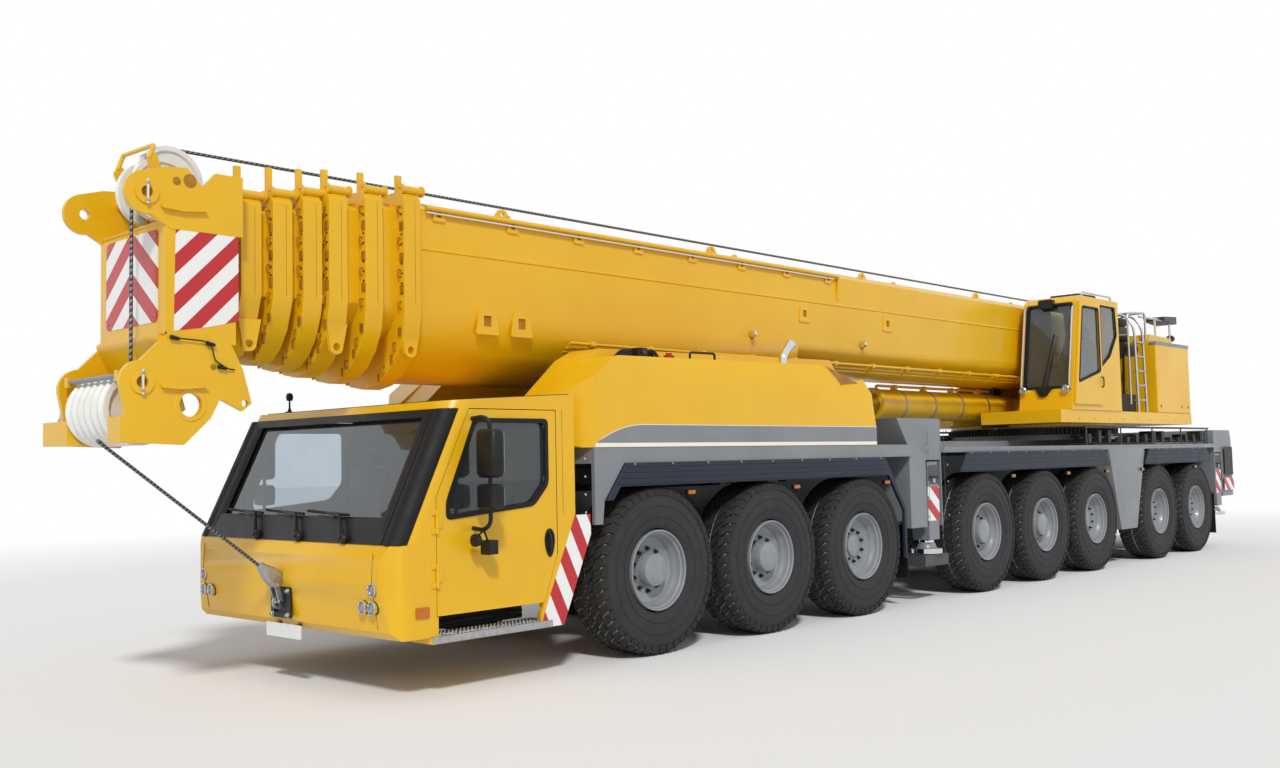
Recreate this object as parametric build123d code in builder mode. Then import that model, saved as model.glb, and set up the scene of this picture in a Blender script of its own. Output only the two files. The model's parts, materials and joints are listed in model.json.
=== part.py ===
from build123d import *
import os
from math import asin, atan2, cos, hypot, pi, radians, sin

# All-terrain mobile crane on eight axles, in its road position: boom retracted and
# lying forward, jib-less, with its hook rope pulled tight to the towing plate.
# Millimetres. +X is forward, +Y is left, +Z is up; the origin is on the ground below
# the middle of the crane's length.

# ---------------------------------------------------------------- driving dimensions

# running gear
TYRE_OD = 1494
TYRE_WIDTH = 445
TYRE_SIDES = 24  # flats round a tyre, a multiple of four so that one flat stands on the ground
SIDEWALL_RADIUS = 560  # where the shoulder's slope starts
SHOULDER_DEPTH = 35
FLANGE_RADIUS = 366
RIM_GAP = 0.3  # between tyre and rim
RIM_WALL = 30
RIM_DISC = (17, 57)  # the rim's disc, from the tyre's middle plane
HUB_CAP_AXLES = (1, 2, 4, 5)  # axles whose hubs stand proud under a round cap
WHEEL_Y = 1262  # middle plane of a wheel
AXLE_1_X = 5470
CLOSE_PITCH = 1650  # axles within a group
MIDDLE_PITCH = 2800  # axle 3 to axle 4, round the front outriggers
REAR_PITCH = 2450  # axle 6 to axle 7, under the slewing ring
AXLE_RADIUS = 105
KINGPIN_Y = 985
KINGPIN_RADIUS = 45
FIST_RADIUS = 88
BRAKE_RADIUS = 230
SUSPENSION_Y = 480  # under the chassis rails
SUSPENSION_RADIUS = 48
FIST_HEIGHT = 135
HUB_RADIUS = 150
DIFFERENTIAL_RADIUS = 200
HUB_SIDES = 16  # flats round hubs, rims' wells and knuckles

# carrier
CHASSIS_HALF_WIDTH = 540
CHASSIS_BOTTOM = 960
CHASSIS_TOP = 1900
CHASSIS_FRONT_X = 2300
RAIL_WIDTH = 100
RAIL_TOP = 1450
NOSE_RAIL_TOP = 860
NOSE_RAIL_BOTTOM = 500
NOSE_RAIL_X = 6200
NOSE_RAIL_FRONT_X = 8150
HALF_WIDTH = 1500
FENDER_TOP = 1707
FENDER_LIP_Z = 1510
FENDER_SHEET = 40
FENDER_TIP_Z = 1387  # the front tips of the front fenders
FENDER_LEG_X = (1330, 1372)
FENDER_LEG_Z = 560
FRONT_FENDER_X = (1600, 5950)
REAR_FENDERS = ((-4250, -130), (-8560, -5960))
REAR_DECK_Z = (1745, 1810)
DECK_FRONT_X = 6270
SKIRT_BOTTOM = 1190
HOUSING_BASE_Z = 1845
HOUSING_INNER_Y = 730
HOUSING_RIDGE_Y = 1100  # where the housings step up beside the boom
HOUSING_INNER_TOP = 2800
HOUSING_REAR_X = 1880
HOUSING_CORNER = 280

# outriggers
OUTRIGGER_WALL = 40
BEAM_WIDTH = 280
BEAM_HEIGHT = 420
BEAM_BOTTOM = 935
BEAM_LENGTH = 2740
BEAM_CLEAR = 10
BEAM_WALL = 16
SLIDE_GAP = 0.3
JACK_RADIUS = 90
JACK_TUBE_HALF = 115  # the jack's square housing, half its width
JACK_TOP = 1640
JACK_TUBE_BOTTOM = 720
PAD_RADIUS = 185
PAD_BOTTOM = 560
PAD_THICKNESS = 60
FRONT_BOX_X = (430, 1150)
FRONT_BOX_TOP = 2150
FRONT_BOX_BROW_X = 1400  # the box's shoulder over the third wheel
FRONT_BOX_BROW_Z = 1800
REAR_BOX_X = (-9960, -9060)
REAR_BOX_TOP = 2050
BOX_BOTTOM = 880

# carrier cab
CAB_WALL = 50
CAB_HALF_WIDTH = 1475
HOUSING_OUTER_Y = CAB_HALF_WIDTH + 10
CAB_CORNER = 200  # radius of the upright corners at the cab's front
CAB_REAR_X = 6500
CAB_ROOF_REAR_Z = 2290
CAB_ROOF_FRONT_Z = 2215
SCREEN_TOP_X = 7790
SCREEN_BOTTOM = (8310, 1140)
SCREEN_HALF_WIDTH = 1330
SCREEN_TOP_RIM = 110
SCREEN_BOTTOM_RIM = 70
SCREEN_DEPTH = 40  # the windscreen lies this far behind its frame
GLASS = 6
HEADLIGHTS = ((1270, 820), (1150, 690), (1270, 690))  # y, z
LAMP_RADIUS = 52
TOW_PLATE = 300
TOW_PLATE_Z = (530, 780)
STEP_Z = (400, 450)
BUMPER_X = 8370
BUMPER_BOTTOM = 450
CAB_FLOOR_Z = 880
DOOR_X = (6710, 7930)
DOOR_Z = (600, 2150)
DOOR_PILLAR = CAB_CORNER + 15  # how far the door's sloping front edge lies behind the windscreen
DOOR_GAP = 6
HINGE_RADIUS = 12
HINGE_OUT = 15  # the doors' hinge line, outside the cab's wall
DOOR_OPEN_DEG = 70
MIRROR_X = 7560
MIRROR_Y = 1660
MIRROR_ARM_Z = (1230, 2075)
MIRROR_HOUSINGS = ((1380, 1570), (1620, 1990))  # z spans
MIRROR_WIDTH = 240

# slewing and superstructure
SLEW_X = -5030
RING_RADIUS = 1250
RING_BOTTOM = 1945
RING_TOP = 2110
RING_GAP = 0.5
PLATFORM_BOTTOM = 2140
PLATFORM_TOP = 2320
PLATFORM_X = (-8030, -2930)
PLATFORM_HALF_WIDTH = 1450
CHEEK_Y = (600, 650)
LUFF_PIVOT = (-7000, 3150)
LUFF_PIN_RADIUS = 75
PIN_CLEAR = 0.05
BARREL_FOOT = (-4200, 2410)
ROD_EYE = (1470, 2410)
BARREL_RADIUS = 205
BARREL_FRONT_X = -330
ROD_RADIUS = 150
WINCH_AXIS = (-7750, 2620)
WINCH_RADIUS = 250
WINCH_FLANGE_RADIUS = 300
WINCH_HALF_WIDTH = 380

# crane cab
CRANE_CAB_Y = (665, 1470)
CRANE_CAB_FRONT_X = -3260
CRANE_CAB_BROW = (-3560, 3910)  # x, z where the leaning front meets the roof's slope
CRANE_CAB_BROW_DEPTH = 110
CRANE_CAB_REAR_X = -5040
CRANE_CAB_TOP = 3990
CRANE_SCREEN_Z = (2640, 3870)
CRANE_SCREEN_RIM = 60
CRANE_WINDOW = ((-4370, 2980), (-4370, 3900), (-4920, 3900), (-4960, 3470), (-4680, 3140))
CRANE_DOOR_WINDOW_Z = (2900, 2720)  # its lower edge falls towards the front
CRANE_CAB_WALL = 45
CRANE_DOOR_REAR_X = -4290
CRANE_DOOR_Z = (2400, 3900)
CRANE_DOOR_RIM = 75

# boom
BOOM_TOP = 3950
BOOM_BOTTOM = 2700
BOOM_SHOULDER = 3050  # where the straight sides end
BOOM_FRONT_BOTTOM = 2440  # the belly is deeper in front of the luffing cylinder's lugs
DEEP_X = (2000, 2650)  # where the belly drops to that depth
BELLY_FLATS = 10
BOOM_HALF_WIDTH = 550
BOOM_WALL = 14
BOOM_TAIL_X = -7260
COLLAR_FRONTS = (7575, 7920, 8235, 8440, 8680, 8925)  # the base first, then each section
BOOM_FRONT_X = COLLAR_FRONTS[0]
SECTION_STEP = 40  # each section is smaller than the one round it by this, all round
SECTION_COUNT = 6
SECTION_REAR_X = -6500
SECTION_REAR_STEP = 120
COLLAR_LENGTH = 170
COLLAR_OUT = 58
PAD_GAP = 0.5
FIN_INBOARD = (95, 130)  # rope guides stand on the collars, this far in from their sides
FIN_TOP = 4150
COLLAR_LUG_DROP = 190  # the lifting eyes hang this far below the belly's shoulder line
COLLAR_LUGS = (0, 2, 5)  # sections whose collar carries an eye on each side
HEAD_BOX = ((9040, 9580), (2640, 3510))  # x and z spans
HEAD_HALF_WIDTH = 540
HEAD_PLATE_Y = (500, 545)
JIB_LUG_RADIUS = 155

# hoist gear
TOP_SHEAVES = ((9450, 3790, 245, (0, 215)), (9350, 3900, 260, (100,)))  # x, z, radius, places along y
LOW_SHEAVE = (9660, 2170, 262)
SHEAVE_WIDTH = 60
SHEAVE_FLANGE = 12
GROOVE_DEPTH = 28
LOW_SHEAVES = 6
JIB_PIN_RADIUS = 40
UPPER_JIB_PIN = (9720, 3690)  # x, z
LOWER_JIB_PIN = (9750, 2345)
LOW_SHEAVE_HALF_WIDTH = 330
FOOT_BOX = ((9440, 9900), (1925, 2105))  # the head's lower side boxes, x and z spans
FOOT_BOX_Y = (-800, 545)  # their outer ends
ROPE_TAIL_X = -6300  # where the upper rope ends, above the winch
ROPE_RADIUS = 13
SOCKET = (8480, 905)  # x, z of the rope's lower end


def axle_positions():
    """Axle places along the crane, from the pitches."""
    pitches = (CLOSE_PITCH, CLOSE_PITCH, MIDDLE_PITCH, CLOSE_PITCH, CLOSE_PITCH, REAR_PITCH, CLOSE_PITCH)
    places = [AXLE_1_X]
    for pitch in pitches:
        places.append(places[-1] - pitch)
    return places


AXLE_X = axle_positions()
STEERED = 3  # axles, counted from the front, that steer
WHEEL_Z = TYRE_OD / 2
SIDES = ((1, "left"), (-1, "right"))

os.makedirs("parts", exist_ok=True)


def save(builder, name):
    """Label a finished piece and write its STEP file."""
    builder.part.label = name
    export_step(builder.part, f"parts/{name}.step")


def block(x, y, z, mode=Mode.ADD):
    """A box from its (low, high) spans along the three axes."""
    middle = ((x[0] + x[1]) / 2, (y[0] + y[1]) / 2, (z[0] + z[1]) / 2)
    with Locations(middle):
        Box(abs(x[1] - x[0]), abs(y[1] - y[0]), abs(z[1] - z[0]), mode=mode)


def slab(outline, y, mode=Mode.ADD):
    """A side outline of (x, z) points, extruded over the span y."""
    with BuildSketch(Plane.XZ.offset(-y[0])) as side:
        with BuildLine():
            Polyline(*outline, close=True)
        make_face()
    extrude(side.sketch, amount=-(y[1] - y[0]), mode=mode)


def prism(outline, x, mode=Mode.ADD):
    """A cross-section of (y, z) points, extruded over the span x."""
    with BuildSketch(Plane.YZ.offset(x[0])) as section:
        with BuildLine():
            Polyline(*outline, close=True)
        make_face()
    extrude(section.sketch, amount=x[1] - x[0], mode=mode)


def crossbar(x, z, radius, y, mode=Mode.ADD):
    """A round bar or hole along Y at (x, z)."""
    with BuildSketch(Plane.XZ.offset(-y[0])) as end:
        with Locations((x, z)):
            Circle(radius)
    extrude(end.sketch, amount=-(y[1] - y[0]), mode=mode)


def post(x, y, z, radius, mode=Mode.ADD):
    """A round upright at (x, y) over the span z."""
    with BuildSketch(Plane.XY.offset(z[0])) as foot:
        with Locations((x, y)):
            Circle(radius)
    extrude(foot.sketch, amount=z[1] - z[0], mode=mode)


def flat_sided(x, z, radius, y, sides=HUB_SIDES, mode=Mode.ADD):
    """A bar along Y at (x, z) with flats round it; the radius is taken to the flats."""
    with BuildSketch(Plane.XZ.offset(-y[0])) as end:
        with Locations((x, z)):
            RegularPolygon(radius / cos(pi / sides), sides, rotation=180 / sides)
    extrude(end.sketch, amount=-(y[1] - y[0]), mode=mode)


def flat_post(x, y, z, radius, sides=8, mode=Mode.ADD):
    """An upright at (x, y) with flats round it, over the span z."""
    with BuildSketch(Plane.XY.offset(z[0])) as foot:
        with Locations((x, y)):
            RegularPolygon(radius / cos(pi / sides), sides, rotation=180 / sides)
    extrude(foot.sketch, amount=z[1] - z[0], mode=mode)


def mirrored(span, side):
    """A span along Y, taken to the left (1) or right (-1) side."""
    return (span[0], span[1]) if side > 0 else (-span[1], -span[0])


# ---------------------------------------------------------------- wheels


def tyre_and_rim(side, capped):
    """Tyre and rim as two solids at the origin, the rim's open face on side."""
    half = TYRE_WIDTH / 2
    with BuildPart() as tyre:
        flat_sided(0, 0, TYRE_OD / 2, (-half, half), TYRE_SIDES)
        for end in (0, -1):
            sidewall = tyre.faces().sort_by(Axis.Y)[end]
            chamfer(sidewall.outer_wire().edges(), TYRE_OD / 2 - SIDEWALL_RADIUS, SHOULDER_DEPTH, reference=sidewall)
        flat_sided(0, 0, FLANGE_RADIUS + RIM_GAP, (-half - 5, half + 5), TYRE_SIDES, Mode.SUBTRACT)
    lip = half - 15
    disc_in, disc_out = RIM_DISC
    with BuildPart() as rim:
        flat_sided(0, 0, FLANGE_RADIUS, mirrored((-lip, lip), side), TYRE_SIDES)
        flat_sided(0, 0, FLANGE_RADIUS - RIM_WALL, mirrored((lip - 55, lip + 5), side), mode=Mode.SUBTRACT)
        flat_sided(0, 0, FLANGE_RADIUS - 2 * RIM_WALL, mirrored((disc_out, lip), side), mode=Mode.SUBTRACT)
        flat_sided(0, 0, FLANGE_RADIUS - RIM_WALL, mirrored((-lip - 5, disc_in), side), mode=Mode.SUBTRACT)
        hub_out = lip - 15 if capped else disc_out + 25
        flat_sided(0, 0, HUB_RADIUS, mirrored((disc_out - 5, hub_out), side))
    return tyre.part, rim.part


WHEEL_INNER_Y = WHEEL_Y + RIM_DISC[0]  # face of the rim's disc, seen from inside

for side, name in SIDES:
    tyre, capped_rim = tyre_and_rim(side, True)
    flat_rim = tyre_and_rim(side, False)[1]
    for number, axle_x in enumerate(AXLE_X, start=1):
        place = Pos(axle_x, side * WHEEL_Y, WHEEL_Z)
        rim = capped_rim if number in HUB_CAP_AXLES else flat_rim
        wheel = Compound(children=[place * tyre, place * rim])
        wheel.label = f"wheel_{number}_{name}"
        export_step(wheel, f"parts/wheel_{number}_{name}.step")

# steering knuckles: a hub disc on the rim, a stub axle and the kingpin's yoke
for number, axle_x in enumerate(AXLE_X[:STEERED], start=1):
    for side, name in SIDES:
        with BuildPart() as knuckle:
            flat_sided(axle_x, WHEEL_Z, AXLE_RADIUS + 15, mirrored((KINGPIN_Y + 95, WHEEL_INNER_Y - SLIDE_GAP), side))
            flat_sided(axle_x, WHEEL_Z, BRAKE_RADIUS, mirrored((WHEEL_Y - 160, WHEEL_Y - 60), side))
            for z in ((WHEEL_Z + 145, WHEEL_Z + 205), (WHEEL_Z - 205, WHEEL_Z - 145)):
                block((axle_x - 75, axle_x + 75), mirrored((KINGPIN_Y - 70, KINGPIN_Y + 130), side), z)
            block(
                (axle_x - 75, axle_x + 75),
                mirrored((KINGPIN_Y + 95, KINGPIN_Y + 130), side),
                (WHEEL_Z - 205, WHEEL_Z + 205),
            )
            post(axle_x, side * KINGPIN_Y, (WHEEL_Z - 205, WHEEL_Z + 205), KINGPIN_RADIUS)
        save(knuckle, f"knuckle_{number}_{name}")

# axle beams: a tube with a differential, under its suspension cylinders
with BuildPart() as axle_beams:
    for number, axle_x in enumerate(AXLE_X, start=1):
        steered = number <= STEERED
        end = KINGPIN_Y - 20 if steered else WHEEL_INNER_Y - SLIDE_GAP
        flat_sided(axle_x, WHEEL_Z, AXLE_RADIUS, (-end, end))
        flat_sided(axle_x, WHEEL_Z, DIFFERENTIAL_RADIUS, (-DIFFERENTIAL_RADIUS, DIFFERENTIAL_RADIUS * 0.6), 10)
        flat_sided(axle_x, WHEEL_Z, AXLE_RADIUS + 40, (-DIFFERENTIAL_RADIUS - 90, DIFFERENTIAL_RADIUS + 90), 10)
        for side, name in SIDES:
            flat_post(axle_x, side * SUSPENSION_Y, (WHEEL_Z, CHASSIS_BOTTOM), SUSPENSION_RADIUS)
            if steered:
                post(axle_x, side * KINGPIN_Y, (WHEEL_Z - FIST_HEIGHT, WHEEL_Z + FIST_HEIGHT), FIST_RADIUS)
                post(
                    axle_x, side * KINGPIN_Y, (WHEEL_Z - 300, WHEEL_Z + 300), KINGPIN_RADIUS + PIN_CLEAR, Mode.SUBTRACT
                )
            else:
                flat_sided(axle_x, WHEEL_Z, BRAKE_RADIUS, mirrored((WHEEL_Y - 190, WHEEL_Y - 60), side))
save(axle_beams, "axle_beams")

# ---------------------------------------------------------------- chassis

# one row per outrigger: name, side, middle of its beam along X
OUTRIGGERS = (
    ("front_left", 1, FRONT_BOX_X[0] + OUTRIGGER_WALL + BEAM_WIDTH / 2 + BEAM_CLEAR),
    ("front_right", -1, FRONT_BOX_X[1] - OUTRIGGER_WALL - BEAM_WIDTH / 2 - BEAM_CLEAR),
    ("rear_left", 1, REAR_BOX_X[1] - OUTRIGGER_WALL - BEAM_WIDTH / 2 - BEAM_CLEAR),
    ("rear_right", -1, REAR_BOX_X[0] + OUTRIGGER_WALL + BEAM_WIDTH / 2 + BEAM_CLEAR),
)
BOX_END_Y = 1180  # the outrigger boxes' open mouths
JACK_BAY_HALF = JACK_TUBE_HALF + 55  # a bay in the boxes' side covers, half its width
JACK_BAY_TOP = 1660
COVER_Y = 1450
FRONT_BOX_OUTLINE = (
    (FRONT_BOX_X[0], BOX_BOTTOM),
    (FRONT_BOX_X[1], BOX_BOTTOM),
    (FRONT_BOX_X[1], FRONT_BOX_BROW_Z),
    (FRONT_BOX_BROW_X, FRONT_BOX_TOP),
    (FRONT_BOX_X[0], FRONT_BOX_TOP),
)
REAR_BOX_OUTLINE = (
    (REAR_BOX_X[0], BOX_BOTTOM),
    (REAR_BOX_X[1], BOX_BOTTOM),
    (REAR_BOX_X[1], REAR_BOX_TOP),
    (REAR_BOX_X[0] + 60, REAR_BOX_TOP),
    (REAR_BOX_X[0], REAR_BOX_TOP - 160),
)
NOSE_RAIL_OUTLINE = (
    (CHASSIS_FRONT_X, CHASSIS_BOTTOM),
    (NOSE_RAIL_X, CHASSIS_BOTTOM),
    (NOSE_RAIL_X + 200, NOSE_RAIL_BOTTOM),
    (NOSE_RAIL_FRONT_X, NOSE_RAIL_BOTTOM),
    (NOSE_RAIL_FRONT_X, NOSE_RAIL_TOP),
    (NOSE_RAIL_X + 270, NOSE_RAIL_TOP),
    (NOSE_RAIL_X + 270, RAIL_TOP),
    (CHASSIS_FRONT_X, RAIL_TOP),
)
# grey sheet ahead of the front fender, cut back along the fender's slope
SKIRT_OUTLINE = (
    (FRONT_FENDER_X[1] - 50 + DOOR_GAP, FENDER_TOP),
    (DECK_FRONT_X, FENDER_TOP),
    (DECK_FRONT_X, SKIRT_BOTTOM),
    (DECK_FRONT_X - 90, SKIRT_BOTTOM),
    (FRONT_FENDER_X[1] + 200 + DOOR_GAP, FENDER_TIP_Z),
)
# closed box between axles 6 and 7
SIDE_BOX_OUTLINE = ((-4440, REAR_DECK_Z[0]), (-4790, 540), (-5390, 540), (-5820, REAR_DECK_Z[0]))

with BuildPart() as chassis:
    block(
        (REAR_BOX_X[0], CHASSIS_FRONT_X), (-CHASSIS_HALF_WIDTH, CHASSIS_HALF_WIDTH), (CHASSIS_BOTTOM, CHASSIS_TOP)
    )
    for outline in (FRONT_BOX_OUTLINE, REAR_BOX_OUTLINE):
        slab(outline, (-COVER_Y, COVER_Y))
    for side, name in SIDES:
        slab(NOSE_RAIL_OUTLINE, mirrored((CHASSIS_HALF_WIDTH - RAIL_WIDTH, CHASSIS_HALF_WIDTH), side))
        # decks over the wheels, the skirt behind the cab and the box between axles 6 and 7
        deck_y = mirrored((CHASSIS_HALF_WIDTH, HOUSING_OUTER_Y - 5), side)
        block((FRONT_BOX_X[1], DECK_FRONT_X), deck_y, (FENDER_TOP, HOUSING_BASE_Z))
        block((REAR_BOX_X[1], FRONT_BOX_X[0]), deck_y, REAR_DECK_Z)
        slab(SKIRT_OUTLINE, mirrored((HOUSING_OUTER_Y - 45, HOUSING_OUTER_Y - 5), side))
        slab(SIDE_BOX_OUTLINE, mirrored((CHASSIS_HALF_WIDTH, HOUSING_OUTER_Y - 5), side))
        # feet of the deck on the nose rails
        for x in ((CHASSIS_FRONT_X + 150, CHASSIS_FRONT_X + 350), (DECK_FRONT_X - 90, DECK_FRONT_X)):
            block(x, mirrored((CHASSIS_HALF_WIDTH - RAIL_WIDTH, CHASSIS_HALF_WIDTH), side), (RAIL_TOP, HOUSING_BASE_Z))
    for x in ((4500, 4600), (NOSE_RAIL_FRONT_X - 200, NOSE_RAIL_FRONT_X)):
        z = (NOSE_RAIL_BOTTOM, NOSE_RAIL_TOP) if x[1] > NOSE_RAIL_X else (CHASSIS_BOTTOM, CHASSIS_BOTTOM + 150)
        block(x, (-CHASSIS_HALF_WIDTH, CHASSIS_HALF_WIDTH), z)
    for name, side, x in OUTRIGGERS:
        half = BEAM_WIDTH / 2 + BEAM_CLEAR
        tunnel_z = (BEAM_BOTTOM - SLIDE_GAP, BEAM_BOTTOM + BEAM_HEIGHT + BEAM_CLEAR)
        tunnel_y = mirrored((COVER_Y - BEAM_CLEAR - BEAM_LENGTH - 20, COVER_Y + 50), side)
        block((x - half, x + half), tunnel_y, tunnel_z, Mode.SUBTRACT)
        bay_y = mirrored((BOX_END_Y, COVER_Y + 50), side)
        block((x - JACK_BAY_HALF, x + JACK_BAY_HALF), bay_y, (BOX_BOTTOM - 10, JACK_BAY_TOP), Mode.SUBTRACT)
    # slewing ring
    post(SLEW_X, 0, (CHASSIS_TOP, RING_BOTTOM), RING_RADIUS + 60)
    post(SLEW_X, 0, (RING_BOTTOM, RING_TOP), RING_RADIUS)
save(chassis, "chassis_frame")

# outrigger beams, each with its jack's housing at its outer end, and the jacks
for name, side, x in OUTRIGGERS:
    outer = side * (COVER_Y - BEAM_CLEAR)
    jack_y = outer - side * JACK_TUBE_HALF
    with BuildPart() as beam:
        block(
            (x - BEAM_WIDTH / 2, x + BEAM_WIDTH / 2),
            (outer, outer - side * BEAM_LENGTH),
            (BEAM_BOTTOM, BEAM_BOTTOM + BEAM_HEIGHT),
        )
        block(
            (x - JACK_TUBE_HALF, x + JACK_TUBE_HALF),
            (outer, outer - side * 2 * JACK_TUBE_HALF),
            (JACK_TUBE_BOTTOM, JACK_TOP),
        )
        # hollow behind the jack
        block(
            (x - BEAM_WIDTH / 2 + BEAM_WALL, x + BEAM_WIDTH / 2 - BEAM_WALL),
            (outer - side * (2 * JACK_TUBE_HALF + BEAM_WALL), outer - side * (BEAM_LENGTH + 5)),
            (BEAM_BOTTOM + BEAM_WALL, BEAM_BOTTOM + BEAM_HEIGHT - BEAM_WALL),
            Mode.SUBTRACT,
        )
        bore_z = (JACK_TUBE_BOTTOM - 10, JACK_TOP - 60)
        post(x, jack_y, bore_z, JACK_RADIUS + PIN_CLEAR, Mode.SUBTRACT)
    save(beam, f"outrigger_beam_{name}")
    with BuildPart() as jack:
        post(x, jack_y, (PAD_BOTTOM + PAD_THICKNESS, JACK_TOP - 70), JACK_RADIUS)
        flat_post(x, jack_y, (PAD_BOTTOM, PAD_BOTTOM + PAD_THICKNESS), PAD_RADIUS, HUB_SIDES)
    save(jack, f"outrigger_jack_{name}")

# fenders: a flat top over each group of wheels and a skirt with sloping ends
FRONT_SKIRT = (
    (FRONT_FENDER_X[0] + 133, FENDER_TOP),
    (FRONT_FENDER_X[1] - 56, FENDER_TOP),
    (FRONT_FENDER_X[1] + 200, FENDER_TIP_Z),
    (FRONT_FENDER_X[1] + 110, FENDER_TIP_Z),
    (FRONT_FENDER_X[1] + 15, FENDER_LIP_Z),
    (FRONT_FENDER_X[0] + 80, FENDER_LIP_Z),
    (FENDER_LEG_X[1], 1100),
    (FENDER_LEG_X[1], FENDER_LEG_Z),
    (FENDER_LEG_X[0], FENDER_LEG_Z),
    (FENDER_LEG_X[0], 1120),
    (FRONT_FENDER_X[0] - 30, FENDER_LIP_Z - 40),
)


def rear_skirt(x):
    """A trapezoid skirt over a group of rear wheels, its top on the span x."""
    return ((x[0], REAR_DECK_Z[0]), (x[1], REAR_DECK_Z[0]), (x[1] + 200, FENDER_LIP_Z), (x[0] - 200, FENDER_LIP_Z))


with BuildPart() as fenders:
    for side, name in SIDES:
        skirt_y = mirrored((HALF_WIDTH - FENDER_SHEET, HALF_WIDTH), side)
        top_y = mirrored((CHASSIS_HALF_WIDTH, HALF_WIDTH), side)
        slab(FRONT_SKIRT, skirt_y)
        block((FRONT_FENDER_X[0] + 133, FRONT_FENDER_X[1] - 56), top_y, (FENDER_TOP - FENDER_SHEET, FENDER_TOP))
        for x in REAR_FENDERS:
            slab(rear_skirt(x), skirt_y)
            block(x, top_y, (REAR_DECK_Z[0] - FENDER_SHEET, REAR_DECK_Z[0]))
save(fenders, "fenders")

# yellow housings on the deck, one each side of the boom
HOUSING_OUTLINE = (
    (DECK_FRONT_X + 200, HOUSING_BASE_Z + 60),
    (DECK_FRONT_X + 200, 2290),
    (DECK_FRONT_X - 200, 2600),
    (DECK_FRONT_X - 320, 2645),
    (2900, 2690),
    (2560, 2480),
    (2120, 2560),
    (1950, 2400),
    (HOUSING_REAR_X, HOUSING_BASE_Z + 200),
    (HOUSING_REAR_X, HOUSING_BASE_Z),
    (DECK_FRONT_X + 60, HOUSING_BASE_Z),
)
INNER_HOUSING_OUTLINE = (
    (DECK_FRONT_X + 150, HOUSING_BASE_Z),
    (DECK_FRONT_X + 150, 2290),
    (DECK_FRONT_X - 250, HOUSING_INNER_TOP - 160),
    (DECK_FRONT_X - 450, HOUSING_INNER_TOP - 60),
    (HOUSING_REAR_X + 300, HOUSING_INNER_TOP),
    (HOUSING_REAR_X + 40, 2500),
    (HOUSING_REAR_X + 40, HOUSING_BASE_Z),
)
with BuildPart() as deck_housings:
    for side, name in SIDES:
        slab(HOUSING_OUTLINE, mirrored((HOUSING_RIDGE_Y, HOUSING_OUTER_Y), side))
        slab(INNER_HOUSING_OUTLINE, mirrored((HOUSING_INNER_Y, HOUSING_RIDGE_Y), side))
        # the outer front corner is cut off on a slant, seen from above
        corner_x, corner_y = DECK_FRONT_X - 10, HOUSING_OUTER_Y - HOUSING_CORNER
        with BuildSketch(Plane.XY.offset(HOUSING_BASE_Z - 5)) as corner:
            with BuildLine():
                Polyline(
                    (corner_x, side * HOUSING_OUTER_Y),
                    (corner_x, side * (HOUSING_OUTER_Y + 5)),
                    (DECK_FRONT_X + 205, side * (HOUSING_OUTER_Y + 5)),
                    (DECK_FRONT_X + 205, side * corner_y),
                    close=True,
                )
            make_face()
        extrude(corner.sketch, amount=HOUSING_INNER_TOP - HOUSING_BASE_Z, mode=Mode.SUBTRACT)
save(deck_housings, "deck_housings")

# engine: one plain block between the chassis rails, on its four feet
with BuildPart() as engine:
    block((3300, 5600), (-400, 400), (1180, 2180))
    for x in (3500, 5300):
        for side, name in SIDES:
            block((x, x + 120), mirrored((380, CHASSIS_HALF_WIDTH - 20), side), (RAIL_TOP, RAIL_TOP + 60))
save(engine, "engine")

# ---------------------------------------------------------------- carrier cab

CAB_OUTLINE = (
    (CAB_REAR_X, CAB_ROOF_REAR_Z),
    (SCREEN_TOP_X, CAB_ROOF_FRONT_Z),
    SCREEN_BOTTOM,
    (BUMPER_X - 10, 1040),
    (BUMPER_X, 860),
    (BUMPER_X - 60, BUMPER_BOTTOM + 60),
    (BUMPER_X - 130, BUMPER_BOTTOM),
    (CAB_REAR_X + 360, BUMPER_BOTTOM),
    (CAB_REAR_X, 1290),
)


def corner_cut(front_x, z, side, rake):
    """Round off an upright front corner of the cab over the span z; rake leans the cut back."""
    start = front_x + 80
    edge = side * CAB_HALF_WIDTH
    with BuildSketch(Plane.XY.offset(z[0])) as corner:
        with BuildLine():
            Polyline(
                (front_x, edge - side * CAB_CORNER),
                (start, edge - side * CAB_CORNER),
                (start, edge + side * 80),
                (front_x - CAB_CORNER, edge + side * 80),
                (front_x - CAB_CORNER, edge),
            )
            ThreePointArc(
                (front_x - CAB_CORNER, edge),
                (front_x - CAB_CORNER * (1 - sin(pi / 4)), edge - side * CAB_CORNER * (1 - sin(pi / 4))),
                (front_x, edge - side * CAB_CORNER),
            )
        make_face()
    height = z[1] - z[0]
    lean = Vector(-rake * height, 0, height)
    extrude(corner.sketch, amount=lean.length, dir=lean, mode=Mode.SUBTRACT)


def screen_x(z):
    """Where the windscreen's slope stands at height z."""
    slope = (SCREEN_BOTTOM[0] - SCREEN_TOP_X) / (CAB_ROOF_FRONT_Z - SCREEN_BOTTOM[1])
    return SCREEN_TOP_X + (CAB_ROOF_FRONT_Z - z) * slope


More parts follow.
